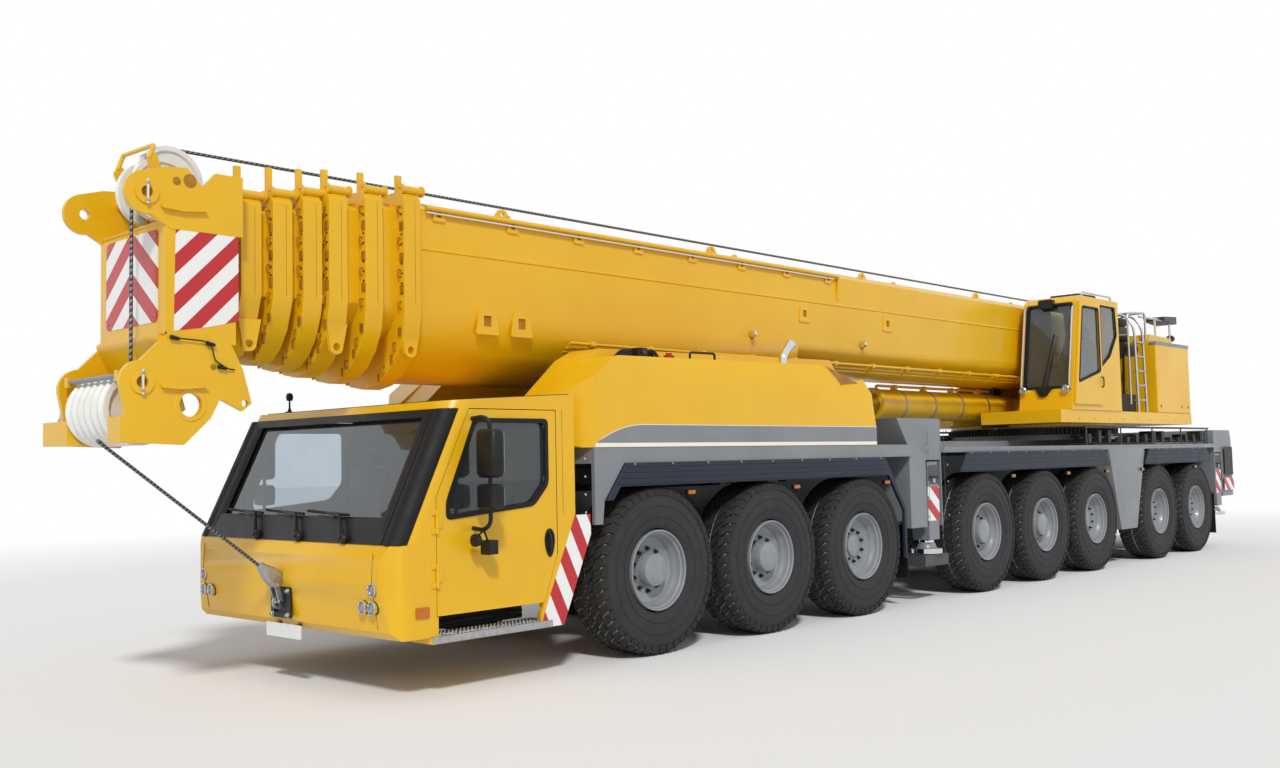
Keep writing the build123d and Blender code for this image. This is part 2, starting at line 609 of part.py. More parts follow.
DOOR_BEND_Z = CAB_ROOF_FRONT_Z - (DOOR_X[1] + DOOR_PILLAR - SCREEN_TOP_X) * (
    CAB_ROOF_FRONT_Z - SCREEN_BOTTOM[1]
) / (SCREEN_BOTTOM[0] - SCREEN_TOP_X)
DOOR_OUTLINE = (
    (DOOR_X[1], DOOR_Z[0]),
    (DOOR_X[1], DOOR_BEND_Z),
    (screen_x(DOOR_Z[1]) - DOOR_PILLAR, DOOR_Z[1]),
    (DOOR_X[0], DOOR_Z[1]),
    (DOOR_X[0], 980),
    (DOOR_X[0] + 150, DOOR_Z[0]),
)
DOOR_WINDOW = (
    (DOOR_X[1] - 110, 1330),
    (DOOR_X[1] - 110, DOOR_BEND_Z - 40),
    (screen_x(DOOR_Z[1]) - DOOR_PILLAR - 60, DOOR_Z[1] - 90),
    (DOOR_X[0] + 110, DOOR_Z[1] - 90),
    (DOOR_X[0] + 110, 1560),
    (DOOR_X[0] + 260, 1400),
)
SCREEN_RAKE = (SCREEN_BOTTOM[0] - SCREEN_TOP_X) / (CAB_ROOF_FRONT_Z - SCREEN_BOTTOM[1])
# striped sheet that closes the gap between the cab's sloping rear edge and the first wheel
REAR_SHEET = (
    (CAB_REAR_X + 5, 1285),
    (CAB_REAR_X - 170, 1285),
    (CAB_REAR_X - 175, 1120),
    (CAB_REAR_X + 150, STEP_Z[0]),
    (CAB_REAR_X + 400, STEP_Z[0]),
    (CAB_REAR_X + 400, BUMPER_BOTTOM + 60),
)
HINGE_Z = (850, 1250)
HINGE_HEIGHT = 100

with BuildPart() as cab:
    slab(CAB_OUTLINE, (-CAB_HALF_WIDTH, CAB_HALF_WIDTH))
    for side, name in SIDES:
        corner_cut(SCREEN_BOTTOM[0], (SCREEN_BOTTOM[1] + 1, CAB_ROOF_FRONT_Z + 150), side, SCREEN_RAKE)
        corner_cut(BUMPER_X, (BUMPER_BOTTOM - 10, SCREEN_BOTTOM[1] + 1), side, 0)
    # the space for the crew
    inner_y = CAB_HALF_WIDTH - CAB_WALL
    slab(
        (
            (CAB_REAR_X + CAB_WALL, CAB_ROOF_REAR_Z - CAB_WALL),
            (SCREEN_TOP_X - 90, CAB_ROOF_FRONT_Z - CAB_WALL),
            (SCREEN_BOTTOM[0] - 120, SCREEN_BOTTOM[1]),
            (SCREEN_BOTTOM[0] - 120, CAB_FLOOR_Z),
            (CAB_REAR_X + CAB_WALL + 190, CAB_FLOOR_Z),
            (CAB_REAR_X + CAB_WALL, 1290),
        ),
        (-inner_y, inner_y),
        Mode.SUBTRACT,
    )
    # below the floor, round the chassis nose
    block((CAB_REAR_X - 10, BUMPER_X - 150), (-inner_y, inner_y), (BUMPER_BOTTOM - 10, CAB_FLOOR_Z - 20), Mode.SUBTRACT)
    # windscreen opening, cut square through the sloping front
    slab(
        (
            (SCREEN_TOP_X - 40, CAB_ROOF_FRONT_Z - SCREEN_TOP_RIM),
            (SCREEN_TOP_X + 300, CAB_ROOF_FRONT_Z - SCREEN_TOP_RIM),
            (SCREEN_BOTTOM[0] + 200, SCREEN_BOTTOM[1] + SCREEN_BOTTOM_RIM),
            (SCREEN_BOTTOM[0] - 130, SCREEN_BOTTOM[1] + SCREEN_BOTTOM_RIM),
        ),
        (-SCREEN_HALF_WIDTH, SCREEN_HALF_WIDTH),
        Mode.SUBTRACT,
    )
    # headlights sit in round recesses, and the towing plate in a square one
    for side, name in SIDES:
        for lamp_y, lamp_z in HEADLIGHTS:
            with BuildSketch(Plane.YZ.offset(BUMPER_X - 70)) as lamp_hole:
                with Locations((side * lamp_y, lamp_z)):
                    Circle(LAMP_RADIUS)
            extrude(lamp_hole.sketch, amount=120, mode=Mode.SUBTRACT)
    block((BUMPER_X - 25, BUMPER_X + 20), (-TOW_PLATE / 2, TOW_PLATE / 2), TOW_PLATE_Z, Mode.SUBTRACT)
    for side, name in SIDES:
        # door opening, and the outer knuckles of its hinges
        with BuildSketch(Plane.XZ.offset(-side * (inner_y - 5))) as opening:
            with BuildLine():
                Polyline(*DOOR_OUTLINE, close=True)
            make_face()
            offset(amount=DOOR_GAP, kind=Kind.INTERSECTION)
        extrude(opening.sketch, amount=-side * (CAB_WALL + 10), mode=Mode.SUBTRACT)
        # the sill below the door is open down to its step, and a sheet closes the rear corner
        outer_y = mirrored((inner_y - 5, CAB_HALF_WIDTH + 5), side)
        block((DOOR_X[0] + 160, DOOR_X[1] - 10), outer_y, (BUMPER_BOTTOM - 5, DOOR_Z[0]), Mode.SUBTRACT)
        slab(REAR_SHEET, mirrored((CAB_HALF_WIDTH - 40, CAB_HALF_WIDTH), side))
        step_x = (CAB_REAR_X + 300, DOOR_X[1] + 60)
        block(step_x, mirrored((CAB_HALF_WIDTH - 240, CAB_HALF_WIDTH + 20), side), STEP_Z)
        for hinge_z in HINGE_Z:
            for z in (
                (hinge_z - 40, hinge_z - SLIDE_GAP),
                (hinge_z + HINGE_HEIGHT + SLIDE_GAP, hinge_z + HINGE_HEIGHT + 40),
            ):
                leaf_y = mirrored((CAB_HALF_WIDTH - 5, CAB_HALF_WIDTH + 10), side)
                block((DOOR_X[1] + DOOR_GAP / 2, DOOR_X[1] + 50), leaf_y, z)
                post(DOOR_X[1] + DOOR_GAP / 2, side * (CAB_HALF_WIDTH + HINGE_OUT), z, HINGE_RADIUS)
save(cab, "carrier_cab_shell")

glass_z = (SCREEN_BOTTOM[1] + SCREEN_BOTTOM_RIM + SLIDE_GAP, CAB_ROOF_FRONT_Z - SCREEN_TOP_RIM - SLIDE_GAP)
with BuildPart() as cab_glass:
    slab(
        (
            (screen_x(glass_z[1]) - SCREEN_DEPTH - GLASS, glass_z[1]),
            (screen_x(glass_z[1]) - SCREEN_DEPTH, glass_z[1]),
            (screen_x(glass_z[0]) - SCREEN_DEPTH, glass_z[0]),
            (screen_x(glass_z[0]) - SCREEN_DEPTH - GLASS, glass_z[0]),
        ),
        (SLIDE_GAP - SCREEN_HALF_WIDTH, SCREEN_HALF_WIDTH - SLIDE_GAP),
    )
save(cab_glass, "carrier_cab_glass")

with BuildPart() as cab_interior:
    # dashboard, then one seat row per entry: middle along Y, width
    block((8030, 8150), (-1240, 1240), (CAB_FLOOR_Z, 1180))
    for y, width in ((860, 520), (-100, 480), (-860, 520)):
        block((7000, 7480), (y - width / 2, y + width / 2), (CAB_FLOOR_Z, 1230))
        block((6850, 7000), (y - width / 2, y + width / 2), (CAB_FLOOR_Z, 1900))
save(cab_interior, "carrier_cab_interior")

for side, name in SIDES:
    with BuildPart() as door:
        slab(DOOR_OUTLINE, mirrored((inner_y, CAB_HALF_WIDTH), side))
        slab(DOOR_WINDOW, mirrored((inner_y - 5, CAB_HALF_WIDTH + 5), side), Mode.SUBTRACT)
        for hinge_z in HINGE_Z:
            z = (hinge_z, hinge_z + HINGE_HEIGHT)
            leaf_y = mirrored((CAB_HALF_WIDTH - 5, CAB_HALF_WIDTH + 10), side)
            block((DOOR_X[1] - 50, DOOR_X[1] + DOOR_GAP / 2), leaf_y, z)
            post(DOOR_X[1] + DOOR_GAP / 2, side * (CAB_HALF_WIDTH + HINGE_OUT), z, HINGE_RADIUS)
        # the mirrors ride on the door: two arms, a pole and two housings
        for arm_z in MIRROR_ARM_Z:
            arm_y = mirrored((CAB_HALF_WIDTH - 5, MIRROR_Y), side)
            block((MIRROR_X - 20, MIRROR_X + 20), arm_y, (arm_z - 20, arm_z + 20))
        post(MIRROR_X, side * MIRROR_Y, (MIRROR_ARM_Z[0] - 60, MIRROR_ARM_Z[1]), 18)
        for z in MIRROR_HOUSINGS:
            housing_y = mirrored((MIRROR_Y - MIRROR_WIDTH / 2, MIRROR_Y + MIRROR_WIDTH / 2), side)
            block((MIRROR_X - 50, MIRROR_X + 60), housing_y, z)
    save(door, f"carrier_cab_door_{name}")

# ---------------------------------------------------------------- superstructure

with BuildPart() as platform:
    block(PLATFORM_X, (-PLATFORM_HALF_WIDTH, PLATFORM_HALF_WIDTH), (PLATFORM_BOTTOM, PLATFORM_TOP))
    post(SLEW_X, 0, (RING_TOP + RING_GAP, PLATFORM_BOTTOM), RING_RADIUS)
    block((PLATFORM_X[1] + 1, BARREL_FOOT[0] - 330), (-230, 230), (RING_TOP + 1, PLATFORM_TOP + 1), Mode.SUBTRACT)
    for side, name in SIDES:
        slab(
            (
                (-3300, PLATFORM_TOP),
                (-3900, 2800),
                (-6500, 3440),
                (-7350, 3440),
                (PLATFORM_X[0], 2900),
                (PLATFORM_X[0], PLATFORM_TOP),
            ),
            mirrored(CHEEK_Y, side),
        )
        slab(
            (
                (BARREL_FOOT[0] + 250, PLATFORM_BOTTOM),
                (BARREL_FOOT[0] + 110, BARREL_FOOT[1] + 110),
                (BARREL_FOOT[0] - 110, BARREL_FOOT[1] + 110),
                (BARREL_FOOT[0] - 250, PLATFORM_BOTTOM),
            ),
            mirrored((232, 300), side),
        )
    crossbar(LUFF_PIVOT[0], LUFF_PIVOT[1], LUFF_PIN_RADIUS, (-CHEEK_Y[0], CHEEK_Y[0]))
    crossbar(BARREL_FOOT[0], BARREL_FOOT[1], 60, (-240, 240))
    crossbar(WINCH_AXIS[0], WINCH_AXIS[1], 70, (-CHEEK_Y[0], CHEEK_Y[0]))
save(platform, "slewing_platform")

with BuildPart() as machinery:
    for side, name in SIDES:
        block(
            (PLATFORM_X[0], -6560), mirrored((CHEEK_Y[1] + 40, PLATFORM_HALF_WIDTH), side), (PLATFORM_TOP, 3480)
        )
save(machinery, "machinery_houses")

with BuildPart() as ladder:
    for x in (-6180, -5850):
        block((x - 20, x + 20), (1330, 1430), (PLATFORM_TOP, 3480))
    for step in range(5):
        block((-6180, -5850), (1340, 1420), (PLATFORM_TOP + 180 + 230 * step, PLATFORM_TOP + 210 + 230 * step))
save(ladder, "ladder")

with BuildPart() as winch:
    crossbar(WINCH_AXIS[0], WINCH_AXIS[1], WINCH_RADIUS, (-WINCH_HALF_WIDTH, WINCH_HALF_WIDTH))
    for side, name in SIDES:
        flange = mirrored((WINCH_HALF_WIDTH - 30, WINCH_HALF_WIDTH), side)
        crossbar(WINCH_AXIS[0], WINCH_AXIS[1], WINCH_FLANGE_RADIUS, flange)
    crossbar(WINCH_AXIS[0], WINCH_AXIS[1], 70 + PIN_CLEAR, (-400, 400), Mode.SUBTRACT)
save(winch, "hoist_winch")

# crane cab
CRANE_CAB_FLOOR = PLATFORM_TOP + SLIDE_GAP
CRANE_CAB_OUTLINE = (
    (CRANE_CAB_FRONT_X, CRANE_CAB_FLOOR),
    CRANE_CAB_BROW,
    (CRANE_CAB_BROW[0] - CRANE_CAB_BROW_DEPTH, CRANE_CAB_TOP),
    (CRANE_CAB_REAR_X, CRANE_CAB_TOP),
    (CRANE_CAB_REAR_X, CRANE_CAB_FLOOR),
)


def crane_front(z):
    """The x of the crane cab's leaning front at height z."""
    lean = (CRANE_CAB_BROW[0] - CRANE_CAB_FRONT_X) / (CRANE_CAB_BROW[1] - CRANE_CAB_FLOOR)
    return CRANE_CAB_FRONT_X + lean * (z - CRANE_CAB_FLOOR)


def crane_screen(depth, gap):
    """A side outline in the screen's opening, depth being its (outer, inner) places behind the front."""
    low, high = CRANE_SCREEN_Z[0] + gap, CRANE_SCREEN_Z[1] - gap
    return (
        (crane_front(low) - depth[0], low),
        (crane_front(high) - depth[0], high),
        (crane_front(high) - depth[1], high),
        (crane_front(low) - depth[1], low),
    )


def crane_door(edge, window=False):
    """The door's side outline, edge mm in from its border; the window's lower edge slopes."""
    low, high = CRANE_DOOR_Z[0] + edge, CRANE_DOOR_Z[1] - edge
    rear_low, front_low = CRANE_DOOR_WINDOW_Z if window else (low, low)
    rear_x = CRANE_DOOR_REAR_X + edge
    front_edge = CRANE_CAB_WALL + edge
    return (
        (rear_x, rear_low),
        (rear_x, high),
        (crane_front(high) - front_edge, high),
        (crane_front(front_low) - front_edge, front_low),
    )


screen_y = (CRANE_CAB_Y[0] + CRANE_SCREEN_RIM, CRANE_CAB_Y[1] - CRANE_SCREEN_RIM)
with BuildPart() as crane_cab:
    slab(CRANE_CAB_OUTLINE, CRANE_CAB_Y)
    with BuildSketch(Plane.XZ.offset(-CRANE_CAB_Y[0] - CRANE_CAB_WALL)) as cavity:
        with BuildLine():
            Polyline(*CRANE_CAB_OUTLINE, close=True)
        make_face()
        offset(amount=-CRANE_CAB_WALL, kind=Kind.INTERSECTION)
    extrude(cavity.sketch, amount=CRANE_CAB_Y[0] - CRANE_CAB_Y[1] + 2 * CRANE_CAB_WALL, mode=Mode.SUBTRACT)
    slab(crane_screen((-50, CRANE_CAB_WALL + 50), 0), screen_y, Mode.SUBTRACT)
    slab(CRANE_WINDOW, (CRANE_CAB_Y[0] - 5, CRANE_CAB_Y[1] + 5), Mode.SUBTRACT)
    slab(crane_door(40), (CRANE_CAB_Y[1] - 100, CRANE_CAB_Y[1] + 10), Mode.SUBTRACT)
save(crane_cab, "crane_cab_shell")

pane_depth = CRANE_CAB_WALL / 2
with BuildPart() as crane_glass:
    slab(crane_screen((pane_depth, pane_depth + GLASS), SLIDE_GAP), (screen_y[0] + SLIDE_GAP, screen_y[1] - SLIDE_GAP))
    for pane_y in (CRANE_CAB_Y[0] + pane_depth, CRANE_CAB_Y[1] - pane_depth - GLASS):
        with BuildSketch(Plane.XZ.offset(-pane_y)) as pane:
            with BuildLine():
                Polyline(*CRANE_WINDOW, close=True)
            make_face()
            offset(amount=-SLIDE_GAP, kind=Kind.INTERSECTION)
        extrude(pane.sketch, amount=-GLASS)
save(crane_glass, "crane_cab_glass")

with BuildPart() as crane_interior:
    block((-4650, -4150), (820, 1320), (CRANE_CAB_FLOOR + CRANE_CAB_WALL, 2850))
    block((-4780, -4650), (820, 1320), (CRANE_CAB_FLOOR + CRANE_CAB_WALL, 3600))
save(crane_interior, "crane_cab_interior")

with BuildPart() as door_panel:
    slab(crane_door(0), (CRANE_CAB_Y[1] + 0.5, CRANE_CAB_Y[1] + 35))
    slab(crane_door(CRANE_DOOR_RIM, window=True), (CRANE_CAB_Y[1] - 5, CRANE_CAB_Y[1] + 45), Mode.SUBTRACT)
save(door_panel, "crane_cab_door")

# ---------------------------------------------------------------- luffing cylinder

with BuildPart() as barrel:
    with BuildSketch(Plane.YZ.offset(BARREL_FOOT[0])) as tube_end:
        with Locations((0, BARREL_FOOT[1])):
            Circle(BARREL_RADIUS)
    extrude(tube_end.sketch, amount=BARREL_FRONT_X - BARREL_FOOT[0])
    crossbar(BARREL_FOOT[0], BARREL_FOOT[1], 150, (-228, 228))
    with BuildSketch(Plane.YZ.offset(BARREL_FRONT_X)) as bore_end:
        with Locations((0, BARREL_FOOT[1])):
            Circle(ROD_RADIUS + PIN_CLEAR)
    extrude(bore_end.sketch, amount=BARREL_FOOT[0] + 300 - BARREL_FRONT_X, mode=Mode.SUBTRACT)
    crossbar(BARREL_FOOT[0], BARREL_FOOT[1], 60 + PIN_CLEAR, (-240, 240), Mode.SUBTRACT)
save(barrel, "luffing_barrel")

with BuildPart() as rod:
    with BuildSketch(Plane.YZ.offset(BARREL_FOOT[0] + 320)) as rod_end:
        with Locations((0, ROD_EYE[1])):
            Circle(ROD_RADIUS)
    extrude(rod_end.sketch, amount=ROD_EYE[0] - BARREL_FOOT[0] - 320)
    crossbar(ROD_EYE[0], ROD_EYE[1], 170, (-160, 160))
save(rod, "luffing_rod")

# ---------------------------------------------------------------- boom


def boom_outline(inset, floor=BOOM_BOTTOM):
    """The boom's cross-section as (y, z) points, set in on every side."""
    half = BOOM_HALF_WIDTH - inset
    top = BOOM_TOP - inset
    bottom = floor + inset
    depth = BOOM_SHOULDER - floor
    chamfer = 60
    belly = []
    for step in range(BELLY_FLATS + 1):
        angle = radians(180 * (step / BELLY_FLATS - 0.5))
        belly.append((half * sin(angle), min(bottom + depth * (1 - cos(angle)), BOOM_SHOULDER)))
    return tuple(belly) + ((half, top - chamfer), (half - chamfer, top), (chamfer - half, top), (-half, top - chamfer))


def boom_tube(x, inset):
    """A hollow length of boom over the span x."""
    prism(boom_outline(inset), x)
    prism(boom_outline(inset + BOOM_WALL), x, Mode.SUBTRACT)


def deep_front(inset, x_start):
    """The base's deep forward length as a solid, its belly dropping on a slope from x_start."""
    floor = BOOM_FRONT_BOTTOM + inset
    with BuildPart() as body:
        prism(boom_outline(inset, BOOM_FRONT_BOTTOM), (x_start, BOOM_FRONT_X))
        slab(
            (
                (x_start - 10, floor - 50),
                (x_start - 10, BOOM_BOTTOM + inset),
                (x_start + 20, BOOM_BOTTOM + inset),
                (DEEP_X[1] + inset, floor),
                (DEEP_X[1] + inset, floor - 50),
            ),
            (-700, 700),
            Mode.SUBTRACT,
        )
    return body.part


def collar(x_front, inset):
    """The reinforced ring at a section's mouth; inset is that section's own."""
    x = (x_front - COLLAR_LENGTH, x_front)
    prism(boom_outline(inset - COLLAR_OUT, BOOM_FRONT_BOTTOM), x)
    prism(boom_outline(inset + SECTION_STEP - PAD_GAP), (x[0] - 5, x[1] + 5), Mode.SUBTRACT)
    # the rope's guide stands on the ring's left edge
    half = BOOM_HALF_WIDTH - inset + COLLAR_OUT
    fin_y = (half - FIN_INBOARD[1], half - FIN_INBOARD[0])
    block((x_front - 50, x_front), fin_y, (BOOM_TOP + COLLAR_OUT - inset - 5, FIN_TOP - inset / 2))


def collar_eye(x_front, inset):
    """A lifting eye on each side, below the ring's shoulder."""
    top = BOOM_SHOULDER - 180
    eye_z = top - COLLAR_LUG_DROP
    half = BOOM_HALF_WIDTH - inset + COLLAR_OUT
    for side, name in SIDES:
        eye_y = mirrored((half - 75, half - 40), side)
        slab(((x_front - 190, top), (x_front, top), (x_front - 30, eye_z), (x_front - 150, eye_z)), eye_y)
        crossbar(x_front - 90, eye_z, 60, eye_y)
        crossbar(x_front - 90, eye_z, 32, (eye_y[0] - 5, eye_y[1] + 5), Mode.SUBTRACT)


with BuildPart() as boom_base:
    boom_tube((BOOM_TAIL_X + 500, BOOM_FRONT_X), 0)
    add(deep_front(0, DEEP_X[0]))
    add(deep_front(BOOM_WALL, DEEP_X[0] + BOOM_WALL), mode=Mode.SUBTRACT)
    prism(boom_outline(BOOM_WALL), (BOOM_TAIL_X + 490, BOOM_FRONT_X + 5), Mode.SUBTRACT)
    collar(BOOM_FRONT_X, 0)
    collar_eye(BOOM_FRONT_X, 0)
    for side, name in SIDES:
        slab(
            (
                (BOOM_TAIL_X, 2800),
                (BOOM_TAIL_X + 900, BOOM_BOTTOM + 360),
                (BOOM_TAIL_X + 900, BOOM_TOP - 80),
                (BOOM_TAIL_X, 3400),
            ),
            mirrored((BOOM_HALF_WIDTH - 5, CHEEK_Y[0] - 5), side),
        )
        # lugs for the luffing cylinder's rod
        slab(
            (
                (ROD_EYE[0] - 450, BOOM_BOTTOM + 52),
                (ROD_EYE[0] - 130, ROD_EYE[1] - 100),
                (ROD_EYE[0] + 130, ROD_EYE[1] - 100),
                (ROD_EYE[0] + 450, BOOM_BOTTOM + 52),
            ),
            mirrored((190, 250), side),
        )
    crossbar(LUFF_PIVOT[0], LUFF_PIVOT[1], LUFF_PIN_RADIUS + PIN_CLEAR, (-700, 700), Mode.SUBTRACT)
save(boom_base, "boom_base")

# the head's side plates, upper and lower, drawn round their jib pins
UPPER_PLATE = (
    (HEAD_BOX[0][0] - 55, HEAD_BOX[1][1] - 60),
    (HEAD_BOX[0][0] - 55, 3900),
    (HEAD_BOX[0][0] + 160, 3900),
    (HEAD_BOX[0][0] + 262, 3780),
    (HEAD_BOX[0][0] + 380, 3905),
    (HEAD_BOX[0][1] + 5, 3890),
    (UPPER_JIB_PIN[0] + JIB_LUG_RADIUS * 0.3, UPPER_JIB_PIN[1] + JIB_LUG_RADIUS * 0.95),
    (UPPER_JIB_PIN[0] - 30, UPPER_JIB_PIN[1] - JIB_LUG_RADIUS * 0.98),
    (HEAD_BOX[0][1] - 40, HEAD_BOX[1][1] - 60),
)
LOWER_PLATE = (
    (HEAD_BOX[0][1], HEAD_BOX[1][0] + 40),
    (LOWER_JIB_PIN[0] + 10, LOWER_JIB_PIN[1] + JIB_LUG_RADIUS),
    (LOWER_JIB_PIN[0] + JIB_LUG_RADIUS, LOWER_JIB_PIN[1] - 10),
    (FOOT_BOX[0][1] - 30, FOOT_BOX[1][1] + 60),
    (FOOT_BOX[0][1] - 30, FOOT_BOX[1][0]),
    (FOOT_BOX[0][0], FOOT_BOX[1][0] - 20),
    (HEAD_BOX[0][0] + 200, FOOT_BOX[1][1] - 10),
    (HEAD_BOX[0][0] + 125, FOOT_BOX[1][1] + 135),
    (HEAD_BOX[0][0] - 52, FOOT_BOX[1][1] + 48),
    (HEAD_BOX[0][0] - 125, FOOT_BOX[1][1] + 107),
    (HEAD_BOX[0][0] - 55, LOWER_JIB_PIN[1] + 115),
    (HEAD_BOX[0][0] + 90, HEAD_BOX[1][0] + 100),
)

for section in range(1, SECTION_COUNT + 1):
    inset = SECTION_STEP * section
    last = section == SECTION_COUNT
    front_x = HEAD_BOX[0][0] + 10 if last else COLLAR_FRONTS[section]
    rear_x = SECTION_REAR_X + SECTION_REAR_STEP * section
    with BuildPart() as tube:
        boom_tube((rear_x, front_x), inset)
        if not last:
            collar(front_x, inset)
            if section in COLLAR_LUGS:
                collar_eye(front_x, inset)
        else:
            # head: a box with plates above and below it that hold the sheaves
            block(HEAD_BOX[0], (-HEAD_HALF_WIDTH, HEAD_HALF_WIDTH), HEAD_BOX[1])
            slab(
                (
                    (HEAD_BOX[0][0], HEAD_BOX[1][0] + 10),
                    (HEAD_BOX[0][1] + 45, HEAD_BOX[1][0] + 50),
                    (HEAD_BOX[0][1] + 45, HEAD_BOX[1][0] + 25),
                    (HEAD_BOX[0][1] - 60, HEAD_BOX[1][0] - 190),
                    (HEAD_BOX[0][0] + 60, HEAD_BOX[1][0] - 190),
                ),
                (-HEAD_PLATE_Y[0] - 5, HEAD_PLATE_Y[0] + 5),
            )
            for outer_y, inner_y in zip(FOOT_BOX_Y, (-LOW_SHEAVE_HALF_WIDTH - 20, LOW_SHEAVE_HALF_WIDTH + 20)):
                block(FOOT_BOX[0], sorted((outer_y, inner_y)), FOOT_BOX[1])
            for side, name in SIDES:
                plate_y = mirrored(HEAD_PLATE_Y, side)
                for outline, pin in ((UPPER_PLATE, UPPER_JIB_PIN), (LOWER_PLATE, LOWER_JIB_PIN)):
                    slab(outline, plate_y)
                    crossbar(pin[0], pin[1], JIB_LUG_RADIUS, plate_y)
                ear_hole = (plate_y[0] - 5, plate_y[1] + 5)
                crossbar(HEAD_BOX[0][0] - 72, FOOT_BOX[1][1] + 106, 28, ear_hole, Mode.SUBTRACT)
                crossbar(HEAD_BOX[0][0] + 353, FOOT_BOX[1][1] + 86, 85, ear_hole, Mode.SUBTRACT)
            shaft_end = HEAD_PLATE_Y[0] + 10
            crossbar(LOW_SHEAVE[0], LOW_SHEAVE[1], 40, (-shaft_end, shaft_end))
            # the rear sheave's own bearing plates, where the front sheaves' shaft is parted
            x, z, radius, places = TOP_SHEAVES[1]
            foot_z = HEAD_BOX[1][1] - 10
            for near, far, shaft in ((-58, -40, -shaft_end), (40, 58, shaft_end)):
                bearing = ((x - 150, foot_z), (x + 150, foot_z), (x + 160, z - 60), (x + 45, z + 45), (x - 45, z + 45))
                slab(bearing, (places[0] + near, places[0] + far))
                crossbar(TOP_SHEAVES[0][0], TOP_SHEAVES[0][1], 40, sorted((places[0] + near, shaft)))
            crossbar(x, z, 40, (places[0] - 58, places[0] + 58))
            for x, z in (UPPER_JIB_PIN, LOWER_JIB_PIN):
                crossbar(x, z, JIB_PIN_RADIUS, (-HEAD_PLATE_Y[1] - 10, HEAD_PLATE_Y[1] + 10), Mode.SUBTRACT)
    save(tube, f"boom_section_{section}")

with BuildPart() as sheaves:
    for x, z, radius, places in TOP_SHEAVES:
        for y in places:
            half = SHEAVE_WIDTH / 2
            crossbar(x, z, radius - GROOVE_DEPTH, (y - half, y + half))
            crossbar(x, z, radius, (y - half, y - half + SHEAVE_FLANGE))
            crossbar(x, z, radius, (y + half - SHEAVE_FLANGE, y + half))
            crossbar(x, z, 40 + PIN_CLEAR, (y - half - 5, y + half + 5), Mode.SUBTRACT)
    x, z, radius = LOW_SHEAVE
    crossbar(x, z, radius - GROOVE_DEPTH, (-LOW_SHEAVE_HALF_WIDTH, LOW_SHEAVE_HALF_WIDTH))
    pitch = 2 * LOW_SHEAVE_HALF_WIDTH / LOW_SHEAVES
    for number in range(LOW_SHEAVES + 1):
        y = min(max(number * pitch - LOW_SHEAVE_HALF_WIDTH, SHEAVE_FLANGE - LOW_SHEAVE_HALF_WIDTH), LOW_SHEAVE_HALF_WIDTH - SHEAVE_FLANGE)
        crossbar(x, z, radius, (y - SHEAVE_FLANGE, y + SHEAVE_FLANGE))
    crossbar(x, z, 40 + PIN_CLEAR, (-400, 400), Mode.SUBTRACT)
save(sheaves, "head_sheaves")

rope_dx = LOW_SHEAVE[0] - SOCKET[0]
rope_dz = LOW_SHEAVE[1] - SOCKET[1]
rope_reach = LOW_SHEAVE[2] + ROPE_RADIUS + 0.3
# the lower rope leaves the sheave's front on a tangent
tangent = atan2(rope_dz, rope_dx) - asin(rope_reach / hypot(rope_dx, rope_dz))
leave = (LOW_SHEAVE[0] + rope_reach * sin(tangent), LOW_SHEAVE[1] - rope_reach * cos(tangent))
# the upper rope lies on the rear sheave, and another length comes down in front of the head
rope_top = TOP_SHEAVES[1][1] + TOP_SHEAVES[1][2] - GROOVE_DEPTH + ROPE_RADIUS + 0.3
front_x = TOP_SHEAVES[0][0] + TOP_SHEAVES[0][2] - GROOVE_DEPTH + ROPE_RADIUS + 0.3
ROPE_RUNS = (
    ((leave[0], 0, leave[1]), (SOCKET[0], 0, SOCKET[1])),
    ((TOP_SHEAVES[1][0], TOP_SHEAVES[1][3][0], rope_top), (ROPE_TAIL_X, TOP_SHEAVES[1][3][0], rope_top)),
    (
        (front_x, TOP_SHEAVES[0][3][-1], TOP_SHEAVES[0][1]),
        (front_x, TOP_SHEAVES[0][3][-1], LOW_SHEAVE[1] + LOW_SHEAVE[2] + 5),
    ),
)
with BuildPart() as rope:
    for start, end in ROPE_RUNS:
        along = tuple(b - a for a, b in zip(start, end))
        with BuildSketch(Plane(start, z_dir=along)) as rope_end:
            Circle(ROPE_RADIUS)
        extrude(rope_end.sketch, amount=hypot(*along))
save(rope, "hoist_rope")
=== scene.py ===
"""Looks of an eight-axle all-terrain mobile crane in its road position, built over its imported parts.

Metres. +X is forward, +Y is left, +Z is up. Every piece is a surface worked out with numpy:
a grid of points, a profile carried along a path, or an outline drawn out along an axis.
"""

import json
from math import atan2, cos, pi, radians, sin

import bmesh
import bpy
import numpy as np
from bpy.props import FloatProperty, FloatVectorProperty, IntProperty, PointerProperty
from bpy.types import Operator, Panel, PropertyGroup
from mathutils import Matrix, Vector

